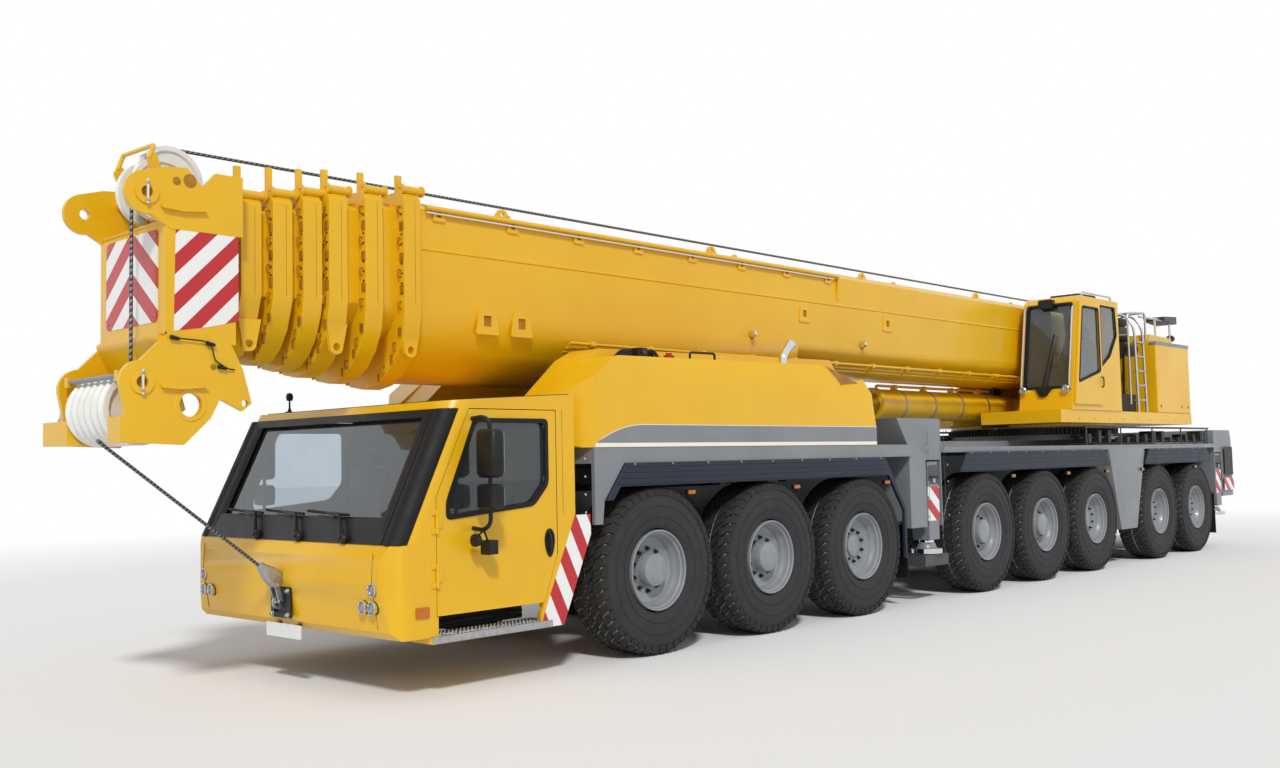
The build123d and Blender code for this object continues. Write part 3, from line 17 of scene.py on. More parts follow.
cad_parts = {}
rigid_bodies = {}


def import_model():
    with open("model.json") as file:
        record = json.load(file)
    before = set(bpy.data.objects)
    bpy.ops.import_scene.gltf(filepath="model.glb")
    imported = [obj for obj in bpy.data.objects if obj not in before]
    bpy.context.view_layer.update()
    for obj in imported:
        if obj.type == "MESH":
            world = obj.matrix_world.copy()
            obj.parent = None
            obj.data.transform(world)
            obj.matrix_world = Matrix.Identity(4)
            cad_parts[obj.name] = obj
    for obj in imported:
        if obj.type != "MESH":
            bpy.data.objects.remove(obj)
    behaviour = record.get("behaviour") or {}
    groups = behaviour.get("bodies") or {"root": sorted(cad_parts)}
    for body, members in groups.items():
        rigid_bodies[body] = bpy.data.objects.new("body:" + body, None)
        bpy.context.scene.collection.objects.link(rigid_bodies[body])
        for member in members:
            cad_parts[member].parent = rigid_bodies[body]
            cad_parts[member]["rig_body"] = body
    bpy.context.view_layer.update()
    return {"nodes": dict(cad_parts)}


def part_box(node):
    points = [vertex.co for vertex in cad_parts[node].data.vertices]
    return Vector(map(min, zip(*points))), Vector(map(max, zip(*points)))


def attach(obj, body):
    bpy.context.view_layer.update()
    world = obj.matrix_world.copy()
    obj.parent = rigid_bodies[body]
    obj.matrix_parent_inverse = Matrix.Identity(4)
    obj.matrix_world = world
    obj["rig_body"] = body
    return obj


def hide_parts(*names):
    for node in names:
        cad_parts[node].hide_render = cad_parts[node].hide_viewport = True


bl_info = {
    "name": "Mobile crane, eight axles",
    "version": (1, 0, 0),
    "blender": (4, 5, 0),
    "location": "3D View > Sidebar > Crane",
    "description": "Builds the looks of a road-going telescopic crane over its packed parts",
    "category": "Add Mesh",
}

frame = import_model()
SIDES = ((1, "left"), (-1, "right"))
SMOOTH = 35  # degrees, edges sharper than this stay crisp
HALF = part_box("fenders")[1][1]  # outer face of the fenders
CAB_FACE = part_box("carrier_cab_shell")[1][1] - 0.027  # outer skin of the cab's sides
MIRROR_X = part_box("carrier_cab_door_left")[0][0] + 0.85
CABIN = ((6.4, -CAB_FACE + 0.012, 0.85), (8.12, CAB_FACE - 0.012, 2.26))  # the road driver's cabin
CRANE_CABIN = ((-4.99, 0.68, 2.34), (-3.30, 1.476, 3.975))  # the crane driver's

# finishes that many pieces share
YELLOW = "enamel_yellow"
# darker yellow enamel: painted shade in recesses and holes, and the tone of seams and small fittings
DARK_YELLOW_AND_SHADE = "enamel_yellow_soiled"
GREY = "enamel_grey"
DARK = "enamel_grey_dark"
PLASTIC = "black_plastic"
RUBBER = "black_rubber"
ZINC = "zinc_steel"
STEEL = "bright_steel"
IRON = "oily_iron"


def linear(code):
    """An sRGB hex colour as linear red, green and blue."""
    s = np.array([int(code[i : i + 2], 16) for i in (1, 3, 5)]) / 255
    return tuple(np.where(s <= 0.04045, s / 12.92, ((s + 0.055) / 1.055) ** 2.4).tolist())


# ---------- shapes: (points, [arrays of faces])


def strip_faces(rows, columns, wrap_rows=False, wrap_columns=True):
    """Quads between the neighbours of a grid of points that is kept row by row."""
    i, j = np.meshgrid(
        np.arange(rows if wrap_rows else rows - 1),
        np.arange(columns if wrap_columns else columns - 1),
        indexing="ij",
    )
    below, right = (i + 1) % rows, (j + 1) % columns
    corners = [i * columns + j, below * columns + j, below * columns + right, i * columns + right]
    return np.stack(corners, -1).reshape(-1, 4)


def lofted(sections, wrap=False):
    """A closed skin through sections (sections x points x 3), capped at both ends unless it wraps."""
    sections = np.asarray(sections, float)
    rows, columns = sections.shape[:2]
    faces = [strip_faces(rows, columns, wrap_rows=wrap)]
    if not wrap:
        first = np.arange(columns)[None, :]
        faces += [first, first[:, ::-1] + (rows - 1) * columns]
    return sections.reshape(-1, 3), faces


def on_plane(outline, axis, value):
    """2-D points put on the plane at value on the axis: x takes (y, z), y takes (x, z), z takes (x, y)."""
    outline = np.asarray(outline, float)
    return np.insert(outline, "xyz".index(axis), value, axis=1)


def prism(outline, axis, span):
    """An outline drawn out straight along an axis over the span."""
    return lofted([on_plane(outline, axis, value) for value in span])


def box(x, y, z):
    """A box from its spans."""
    return prism(rect(x[0], x[1], y[0], y[1]), "z", z)


def rect(left, right, low, high):
    """The corners of an upright rectangle."""
    return [(left, low), (right, low), (right, high), (left, high)]


def holed(outer, inner, axis, span):
    """A flat ring between two outlines of the same count, drawn out along an axis."""
    rings = [
        on_plane(line, axis, value) for value,
        line in zip((span[0], span[0], span[1], span[1]), (inner, outer, outer, inner))]
    return lofted(rings, wrap=True)


def rounded(points, radius, steps=4):
    """A closed outline with its corners turned into quadratic arcs that start radius before each corner."""
    points = np.asarray(points, float)
    before = np.roll(points, 1, axis=0) - points
    after = np.roll(points, -1, axis=0) - points
    reach_before = np.linalg.norm(before, axis=1, keepdims=True)
    reach_after = np.linalg.norm(after, axis=1, keepdims=True)
    radius = np.broadcast_to(radius, len(points)).reshape(-1, 1)
    start = points + before / reach_before * np.minimum(radius, reach_before * 0.49)
    end = points + after / reach_after * np.minimum(radius, reach_after * 0.49)
    t = np.linspace(0, 1, steps + 1)[None, :, None]
    arc = start[:, None] * (1 - t) ** 2 + points[:, None] * 2 * t * (1 - t) + end[:, None] * t**2
    return arc.reshape(-1, points.shape[1])


def bent(points, radius, steps=5):
    """An open path with its inner corners turned into quadratic arcs; its ends stay."""
    points = np.asarray(points, float)
    if len(points) < 3:
        return points
    arcs = rounded(points, radius, steps).reshape(len(points), steps + 1, -1)[1:-1]
    return np.vstack([points[:1], arcs.reshape(-1, points.shape[1]), points[-1:]])


def tube(path, radius, sides=10):
    """A circle carried along a path, square to the path's direction at each point, with flat ends."""
    path = np.asarray(path, float)
    ahead = np.vstack([path[1:], path[-1:]]) - np.vstack([path[:1], path[:-1]])
    ahead /= np.linalg.norm(ahead, axis=1, keepdims=True)
    flat = np.linalg.svd(path - path.mean(0) + 1e-9)[2][-1]
    aside = np.cross(ahead, flat)
    aside /= np.linalg.norm(aside, axis=1, keepdims=True)
    up = np.cross(aside, ahead)
    a = np.linspace(0, 2 * pi, sides, endpoint=False)
    radius = np.broadcast_to(radius, len(path)).reshape(-1, 1, 1)
    ring = np.cos(a)[None, :, None] * aside[:, None] + np.sin(a)[None, :, None] * up[:, None]
    return lofted(path[:, None] + ring * radius)


def turned(profile, centre, axis="y", sides=32, wrap=False):
    """A profile of (along the axis, radius) turned once about the axis through centre."""
    profile = np.asarray(profile, float)
    a = np.linspace(0, 2 * pi, sides, endpoint=False)
    along = np.repeat(profile[:, :1], sides, 1)
    flat = [profile[:, 1:] * np.cos(a), profile[:, 1:] * np.sin(a)]
    k = "xyz".index(axis)
    flat.insert(k, along)
    return lofted(np.stack(flat, -1) + np.asarray(centre, float), wrap=wrap)


def merged(*shapes):
    """Several shapes as one."""
    points, faces, base = [], [], 0
    for shape in shapes:
        points.append(shape[0])
        faces += [f + base for f in shape[1]]
        base += len(shape[0])
    return np.vstack(points), faces


def copies(shape, turns):
    """A shape repeated through an array of 4 x 4 matrices."""
    turns = np.asarray(turns, float)
    points = np.einsum("kij,nj->kni", turns[:, :3, :3], shape[0]) + turns[:, None, :3, 3]
    shift = (np.arange(len(turns)) * len(shape[0]))[:, None, None]
    return points.reshape(-1, 3), [(f[None] + shift).reshape(-1, f.shape[1]) for f in shape[1]]


def shifted(shape, *offsets):
    """A shape repeated at offsets."""
    turns = np.tile(np.eye(4), (len(offsets), 1, 1))
    turns[:, :3, 3] = offsets
    return copies(shape, turns)


def circled(shape, centre, count, axis="y", start=0.0):
    """A shape repeated round an axis through centre."""
    middle = Matrix.Translation(centre)
    spins = [
        middle @ Matrix.Rotation(start + 2 * pi * k / count, 4, axis.upper()) @ middle.inverted() for k in range(count)]
    return copies(shape, spins)


def flipped(shape):
    """A shape taken to the other side of the crane."""
    return shape[0] * (1, -1, 1), shape[1]


def both(shape):
    """A shape on both sides of the crane."""
    return merged(shape, flipped(shape))


def to_side(shape, side):
    """A shape of the left side, on that side."""
    return shape if side > 0 else flipped(shape)


def nut(centre, radius, height, axis="y"):
    """A six-sided nut on a round washer, with its stud."""
    c = np.asarray(centre, float)
    s = np.sign(height)
    return merged(
        turned([(0, radius * 1.35), (s * 0.004, radius * 1.35)], c, axis, 12),
        turned([(0, radius), (height * 0.85, radius), (height, radius * 0.85)], c, axis, 6),
        turned([(0, radius * 0.5), (height * 1.5, radius * 0.5)], c, axis, 8),
    )


def bolts(places, radius, height, axis="y"):
    """Small six-sided bolt heads standing on a face at the places."""
    head = [(0, radius), (height * 0.8, radius), (height, radius * 0.8)]
    return merged(*(turned(head, place, axis, 6) for place in places))


def along(start, end, count):
    """Evenly spaced places from start to end."""
    return np.linspace(start, end, count)


def border(line, out, radius=0.05):
    """A rounded copy of an outline, moved out (or in, when negative) square to its sides."""
    line = np.asarray(line, float)
    area = np.sum(line[:, 0] * np.roll(line[:, 1], -1) - np.roll(line[:, 0], -1) * line[:, 1])
    ahead = np.roll(line, -1, 0) - line
    ahead /= np.linalg.norm(ahead, axis=1, keepdims=True)
    square = np.stack([ahead[:, 1], -ahead[:, 0]], 1) * np.sign(area)
    before = np.roll(square, 1, 0)
    mitre = (square + before) / (1 + np.sum(square * before, 1))[:, None]
    return rounded(line + mitre * out, radius, 5)


class Parts(list):
    """(shape, material name) rows of one piece, gathered shape by shape."""

    def add(self, material, shape, twice=False):
        """Gather a shape, on both sides of the crane if twice."""
        self.append((both(shape) if twice else shape, material))

    def plate(self, material, outline, axis, span, radius=0, steps=4, twice=False):
        """Gather an outline drawn out along an axis, its corners rounded first if it has a radius."""
        self.add(material, prism(rounded(outline, radius, steps) if radius else outline, axis, span), twice)

    def tube(self, material, path, radius, sides=10, bend=0, twice=False):
        """Gather a round tube along a path, its corners bent first if it has a bend."""
        self.add(material, tube(bent(path, bend) if bend else path, radius, sides), twice)

    def turned(self, material, *profile, twice=False, **settings):
        """Gather a turned profile."""
        self.add(material, turned(*profile, **settings), twice)

    def placed(self, place):
        """The same rows with each shape put through place."""
        return [(place(shape), material) for shape, material in self]


def edges(node):
    """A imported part's low and high corners as arrays."""
    return tuple(np.array(corner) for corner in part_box(node))


# ---------- pieces


def dress(obj, body, materials, replaces=()):
    """Put a finished object on its body, with its materials and record slot."""
    for material in materials:
        obj.data.materials.append(bpy.data.materials[material])
    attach(obj, body)
    if replaces:
        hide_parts(*replaces)
    return obj


def soften(obj, width, smooth=SMOOTH):
    """Shade a mesh smooth but for its edges, and round those off by width."""
    obj.data.shade_smooth()
    obj.data.set_sharp_from_angle(angle=radians(smooth))
    if width:
        edge = obj.modifiers.new("rounded edges", "BEVEL")
        edge.width, edge.segments, edge.limit_method = width, 2, "ANGLE"
        edge.angle_limit, edge.harden_normals = radians(30), True


def piece(name, parts, body, edge=0.0, replaces=(), smooth=SMOOTH):
    """One object from (shape, material name) parts, its faces turned outwards, riding on body."""
    shape = merged(*(part for part, _ in parts))
    names = list(dict.fromkeys(material for _, material in parts))
    finish = np.concatenate([np.full(sum(len(f) for f in part[1]), names.index(material)) for part, material in parts])
    mesh = bpy.data.meshes.new(name)
    mesh.from_pydata(shape[0].tolist(), [], [f for group in shape[1] for f in group.tolist()])
    mesh.polygons.foreach_set("material_index", finish.astype(np.int32))
    bm = bmesh.new()
    bm.from_mesh(mesh)
    bmesh.ops.recalc_face_normals(bm, faces=bm.faces)
    bm.to_mesh(mesh)
    bm.free()
    obj = bpy.data.objects.new(name, mesh)
    bpy.context.scene.collection.objects.link(obj)
    soften(obj, edge, smooth)
    return dress(obj, body, names, replaces)


def rounded_part(node, material, edge=0.006, drop=None, room=None, through=False):
    """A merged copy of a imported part, its edges rounded off, that stands for it.

    drop takes a face's centre and tells whether to leave it off; the holes that leaves are closed again, or,
    with through, joined to each other as an opening through the wall.
    room is the two corners of a cabin: the faces in it that look at its middle are lined.
    """
    source = frame["nodes"][node]
    mesh = source.data.copy()
    mesh.materials.clear()
    bm = bmesh.new()
    bm.from_mesh(mesh)
    bmesh.ops.remove_doubles(bm, verts=bm.verts, dist=1e-5)
    bmesh.ops.dissolve_limit(bm, angle_limit=radians(1), verts=bm.verts, edges=bm.edges)
    if drop:
        gone = [face for face in bm.faces if drop(face.calc_center_median())]
        bmesh.ops.delete(bm, geom=gone, context="FACES")
        rims = [edge for edge in bm.edges if edge.is_boundary]
        if through:
            bmesh.ops.bridge_loops(bm, edges=rims)
        else:
            bmesh.ops.holes_fill(bm, edges=rims)
    if room:
        low, high = Vector(room[0]), Vector(room[1])
        for face in bm.faces:
            c = face.calc_center_median()
            inside = all(a <= v <= b for a, v, b in zip(low, c, high))
            face.material_index = int(inside and face.normal.dot((low + high) / 2 - c) > 0.02)
    bm.to_mesh(mesh)
    bm.free()
    obj = bpy.data.objects.new(node + "_finished", mesh)
    bpy.context.scene.collection.objects.link(obj)
    soften(obj, edge)
    finish = [material, "cab_lining"] if room else [material]
    return dress(obj, source["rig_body"], finish, [node])


def body_of(node):
    """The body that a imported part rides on."""
    return frame["nodes"][node]["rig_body"]


def repaint(node, material):
    """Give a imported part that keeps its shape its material."""
    mesh = frame["nodes"][node].data
    mesh.materials.clear()
    mesh.materials.append(bpy.data.materials[material])


# ---------- materials


def add_node(tree, kind, inputs=(), **settings):
    """Add a node, set its settings, and set or link its inputs; a link is (node, output name or number)."""
    node = tree.nodes.new("ShaderNode" + kind)
    for key, value in settings.items():
        setattr(node, key, value)
    for key, value in dict(inputs).items():
        if isinstance(value, tuple) and isinstance(value[0], bpy.types.Node):
            tree.links.new(value[0].outputs[value[1]], node.inputs[key])
        else:
            node.inputs[key].default_value = value
    return node


def lay(tree, shader, tone=None, rough=None, relief=None):
    """Link the shader's colour, roughness and normal to the nodes that work them out."""
    for node, output, socket in ((tone, 2, "Base Color"), (rough, "Result", "Roughness"), (relief, "Normal", "Normal")):
        if node:
            tree.links.new(node.outputs[output], shader.inputs[socket])


def new_material(name, sockets):
    """A material with one Principled shader whose plain sockets are set; gives (tree, shader)."""
    material = bpy.data.materials.new(name)
    material.use_nodes = True
    tree = material.node_tree
    tree.nodes.clear()
    shader = add_node(tree, "BsdfPrincipled", sockets)
    add_node(tree, "OutputMaterial", {"Surface": (shader, "BSDF")})
    return tree, shader


def rgba(code):
    """A hex colour, or a colour property, as linear RGBA."""
    return (*(linear(code) if isinstance(code, str) else code), 1.0)


def blend(tree, share, first, second):
    """Two colours mixed by a share."""
    return add_node(tree, "Mix", {0: share, 6: rgba(first), 7: rgba(second)}, data_type="RGBA")


def weathered(name, colour, worn, sockets, rough=(0.3, 0.4), patch=0.35, grain=0.004, bump=0.1, amount=0.5):
    """A finish whose colour drifts to its worn tone in patches and whose skin has a fine grain.

    patch and grain are sizes in metres; rough is the roughness in clean and in worn places.
    """
    tree, shader = new_material(name, sockets)
    place = add_node(tree, "TexCoord")
    drift = add_node(
        tree, "TexNoise", {"Vector": (place, "Object"), "Scale": 1 / patch, "Detail": 6.0, "Roughness": 0.62}
    )
    share = add_node(
        tree,
        "MapRange",
        {"Value": (drift, "Fac"), "From Min": 0.38, "From Max": 0.72, "To Min": 0.0, "To Max": amount},
    )
    tone = blend(tree, (share, "Result"), colour, worn)
    gloss = add_node(
        tree,
        "MapRange",
        {"Value": (drift, "Fac"), "From Min": 0.3, "From Max": 0.75, "To Min": rough[0], "To Max": rough[1]},
    )
    skin = add_node(tree, "TexNoise", {"Vector": (place, "Object"), "Scale": 1 / grain, "Detail": 2.0})
    relief = add_node(
        tree, "Bump", {"Height": (skin, "Fac"), "Strength": bump, "Distance": grain * 0.25}
    )
    lay(tree, shader, tone, gloss, relief)
    return tree, shader


def striped(name, direction, pitch, colours, centre=0.0, chevron=False, sockets=()):
    """Retroreflective warning sheet: straight bands square to direction, or mirrored at y = centre as chevrons."""
    tree, shader = new_material(name, sockets)
    place = add_node(tree, "TexCoord")
    split = add_node(tree, "SeparateXYZ", {"Vector": (place, "Object")})
    across = (split, "Y")
    if chevron:
        moved = add_node(tree, "Math", {0: (split, "Y"), 1: centre}, operation="SUBTRACT")
        across = (add_node(tree, "Math", {0: (moved, 0)}, operation="ABSOLUTE"), 0)
    join = add_node(tree, "CombineXYZ", {"X": (split, "X"), "Y": across, "Z": (split, "Z")})
    along = add_node(
        tree, "VectorMath", {0: (join, 0), 1: [d / pitch for d in direction]}, operation="DOT_PRODUCT"
    )
    part = add_node(tree, "Math", {0: (along, "Value")}, operation="FRACT")
    band = add_node(tree, "Math", {0: (part, 0), 1: 0.5}, operation="GREATER_THAN")
    tone = blend(tree, (band, 0), *colours)
    tree.links.new(tone.outputs[2], shader.inputs["Base Color"])
    # the sheet's honeycomb of prisms, drawn at 6 mm so that it shows
    cells = add_node(tree, "TexVoronoi", {"Vector": (place, "Object"), "Scale": 170.0})
    relief = add_node(tree, "Bump", {"Height": (cells, "Distance"), "Strength": 0.15, "Distance": 0.001})
    tree.links.new(relief.outputs["Normal"], shader.inputs["Normal"])
    return tree, shader


# ---------- sizes and colours that a user may change


def colour_choice(name, description, code):
    """A colour property with its default from a hex code."""
    return FloatVectorProperty(
        name=name, description=description, default=linear(code), size=3, min=0, max=1, subtype="COLOR")


class CraneColours(PropertyGroup):
    """Colours of the finishes."""

    body: colour_choice("Body", "Enamel of the boom, cabs and housings", "#EBB808")
    body_worn: colour_choice("Body, worn", "The body enamel where it has dulled", "#D69C04")
    frame: colour_choice("Frame", "Enamel of the carrier's frame and outriggers", "#83878C")
    rim: colour_choice("Rims", "Enamel of the wheels' rims", "#8F9396")
    fender: colour_choice("Fenders", "Moulded plastic of the fenders", "#222A38")
    stripe_red: colour_choice("Warning red", "Red of the warning stripes", "#BE1A22")


class CraneSizes(PropertyGroup):
    """Sizes of the dressed pieces."""

    tread_blocks: IntProperty(name="Tread blocks", description="Blocks in one row round a tyre", default=46, min=20, max=90)
    tread_depth: FloatProperty(
        name="Tread depth", description="Depth of the grooves between the blocks", default=0.022, min=0.005, max=0.04,
        subtype="DISTANCE", unit="LENGTH",
    )
    wheel_nuts: IntProperty(name="Wheel nuts", description="Nuts on one rim", default=10, min=4, max=24)
    fender_ribs: IntProperty(name="Fender ribs", description="Ribs moulded along a fender", default=4, min=0, max=10)
    collar_clips: IntProperty(
        name="Collar clips", description="Clips down one side of a boom collar", default=11, min=0, max=20)
    ladder_steps: IntProperty(
        name="Ladder steps", description="Steps of the superstructure's ladder", default=5, min=2, max=9)


# ---------- operators


def make_finishes(context):
    """Every material of the crane."""
    c = context.scene.crane_colours
    matt = {"IOR": 1.52, "Specular IOR Level": 0.3}
    gloss = {"Coat Weight": 0.2, "Coat Roughness": 0.08, "IOR": 1.5}
    # two-pack enamel sprayed on steel plate: a clear gloss over a colour that dulls in broad patches
    weathered(YELLOW, c.body, c.body_worn, gloss, (0.28, 0.42), 1.1, 0.012, 0.05, 0.35)
    # the same enamel darkened as painted shade for recesses, holes and undersides; it is also the tone of seams, clips
    # and small fittings
    weathered(DARK_YELLOW_AND_SHADE, "#B07A0B", "#6E4A10", {"IOR": 1.5}, (0.4, 0.6), 0.18, 0.01, 0.2, 0.8)
    # chassis enamel, sprayed satin
    weathered(GREY, c.frame, "#6F7377", {"IOR": 1.5, "Coat Weight": 0.15}, (0.38, 0.52), 0.7, 0.01, 0.08, 0.5)
    weathered(DARK, "#4C5054", "#3A3D40", {"IOR": 1.5}, (0.45, 0.65), 0.3, 0.01, 0.15, 0.7)
    # wheel enamel over a pressed steel disc
    weathered("rim_enamel", c.rim, "#74787B", {"IOR": 1.5, "Coat Weight": 0.3}, (0.3, 0.45), 0.15, 0.006, 0.06, 0.5)
    # moulded polypropylene with a fine leather grain
    weathered(
        "fender_plastic", c.fender, "#2D3543", {"IOR": 1.49, "Specular IOR Level": 0.3}, (0.42, 0.55), 0.4, 0.004, 0.25, 0.5
    )
    weathered(PLASTIC, "#101113", "#1C1E20", {"IOR": 1.49, "Specular IOR Level": 0.35}, (0.38, 0.52), 0.12, 0.003, 0.3, 0.6)
    weathered(RUBBER, "#0E0E0F", "#19191A", matt, (0.55, 0.75), 0.1, 0.003, 0.2, 0.5)
    # tyre rubber: matt side walls, blocks scuffed dull, and grooves painted pale as painted light that lifts the shade
    # between the blocks
    weathered("tyre_side", "#2C2C2F", "#3C3C3E", matt, (0.62, 0.8), 0.12, 0.003, 0.3, 0.7)
    weathered("tyre_block", "#242425", "#3A3834", matt, (0.7, 0.88), 0.05, 0.004, 0.5, 0.9)
    weathered("tyre_groove", "#C2BEB3", "#827F75", {"IOR": 1.52}, (0.85, 0.95), 0.06, 0.006, 0.6, 0.6)
    # galvanised and bright steel, mill-finish aluminium, hard chrome
    weathered(STEEL, "#A9ABAD", "#7F8183", {"Metallic": 1.0}, (0.22, 0.42), 0.06, 0.002, 0.1, 0.6)
    weathered(ZINC, "#9FA2A4", "#C2C4C5", {"Metallic": 0.85}, (0.35, 0.5), 0.05, 0.004, 0.12, 0.8)
    weathered("aluminium", "#C9CBCC", "#A9ABAC", {"Metallic": 1.0}, (0.25, 0.38), 0.1, 0.002, 0.15, 0.5)
    weathered("hard_chrome", "#D5D7D9", "#C4C6C8", {"Metallic": 1.0}, (0.06, 0.12), 0.3, 0.002, 0.02, 0.3)
    # machinery between panels: cast iron and hoses, dark with oil
    weathered(IRON, "#24262A", "#3D3A34", {"Metallic": 0.3}, (0.4, 0.7), 0.1, 0.006, 0.4, 0.8)
    # cast nylon sheaves, milky white with grease marks in patches
    weathered(
        "white_nylon", "#EDEDE8", "#CFCFC6", {"IOR": 1.53, "Subsurface Weight": 0.05}, (0.35, 0.5), 0.2, 0.004, 0.1, 0.5)
    weathered("cab_lining", "#181D26", "#11151B", {"IOR": 1.49}, (0.6, 0.75), 0.2, 0.004, 0.3, 0.5)
    # woven seat cloth
    weathered("seat_cloth", "#24272C", "#33373D", {"Sheen Weight": 0.4}, (0.8, 0.95), 0.05, 0.003, 0.5, 0.6)
    weathered("white_paint", "#F2F2EE", "#DCDCD6", gloss, (0.3, 0.4), 0.4, 0.01, 0.05, 0.3)
    # moulded knobs and caps
    weathered("stripe_knob", "#9E1A18", "#7A1512", {"IOR": 1.49}, (0.35, 0.5), 0.05, 0.003, 0.1, 0.5)
    weathered("plate_white", "#E9EBEC", "#D5D7D8", {"IOR": 1.5}, (0.35, 0.45), 0.1, 0.003, 0.1, 0.3)
    # moulded lenses
    for name, code, clear in (
        ("lamp_lens", "#DDE3E8", 0.75), ("amber_lens", "#E8860C", 0.35), ("red_lens", "#A90F12", 0.3)
    ):
        tree, shader = new_material(name, {"Roughness": 0.06, "IOR": 1.49, "Transmission Weight": clear})
        place = add_node(tree, "TexCoord")
        flutes = add_node(
            tree, "TexWave", {"Vector": (place, "Object"), "Scale": 28.0, "Distortion": 0.0}, bands_direction="Z"
        )
        relief = add_node(tree, "Bump", {"Height": (flutes, "Fac"), "Strength": 0.4, "Distance": 0.002})
        drift = add_node(tree, "TexNoise", {"Vector": (place, "Object"), "Scale": 20.0})
        tone = blend(tree, (drift, "Fac"), code, [v * 0.85 for v in linear(code)])
        lay(tree, shader, tone, relief=relief)
    # laminated screen and toughened side glass, tinted blue-grey, with a trace of film left by the wipers
    for name, code, clear in (("screen_glass", "#DCE7EF", 0.97), ("side_glass", "#DCE5EA", 0.97)):
        tree, shader = new_material(name, {"IOR": 1.5, "Transmission Weight": clear})
        place = add_node(tree, "TexCoord")
        film = add_node(tree, "TexNoise", {"Vector": (place, "Object"), "Scale": 3.0, "Detail": 4.0})
        veil = add_node(
            tree, "MapRange", {"Value": (film, "Fac"), "From Min": 0.4, "From Max": 0.8, "To Min": 0.0, "To Max": 0.03}
        )
        tone = blend(tree, (film, "Fac"), code, [v * 0.85 for v in linear(code)])
        lay(tree, shader, tone, veil)
    # wire rope: six strands laid right-handed; the lay is drawn coarse, a turn every 60 mm
    tree, shader = new_material("wire_rope", {"Metallic": 0.7})
    place = add_node(tree, "TexCoord")
    strands = add_node(
        tree, "TexWave", {"Vector": (place, "Object"), "Scale": 14.0, "Distortion": 0.6}, bands_direction="DIAGONAL"
    )
    tone = blend(tree, (strands, "Fac"), "#3A3C3E", "#84878A")
    rough = add_node(tree, "MapRange", {"Value": (strands, "Fac"), "To Min": 0.5, "To Max": 0.3})
    relief = add_node(tree, "Bump", {"Height": (strands, "Fac"), "Strength": 0.8, "Distance": 0.004})
    lay(tree, shader, tone, rough, relief)
    # stamped aluminium treads
    weathered("tread_plate", "#B9BBBC", "#8E9091", {"Metallic": 0.9}, (0.35, 0.5), 0.06, 0.003, 0.2, 0.7)
    # warning sheet, red and white bands of about 140 mm
    red, white = c.stripe_red, "#F1F1EF"
    sheet = {"Roughness": 0.35, "IOR": 1.5, "Coat Weight": 0.3}
    # bands fall towards the rear on the sides of the carrier and towards the front on the boom's head
    striped("warning_side", (0.707, 0, 0.707), 0.203, (red, white), sockets=sheet)
    striped("warning_cab", (0.9, 0, -0.44), 0.22, (red, white), sockets=sheet)
    striped("warning_front", (0, 0.608, 0.794), 0.242, (red, white), chevron=True, sockets=sheet)
    striped("warning_beam", (0.6, 0.6, -0.72), 0.21, (red, white), sockets=sheet)


class CRANE_OT_finishes(Operator):
    """Make the crane's materials."""

    bl_idname = "crane.finishes"
    bl_label = "Finishes"

    def execute(self, context):
        make_finishes(context)
        return {"FINISHED"}


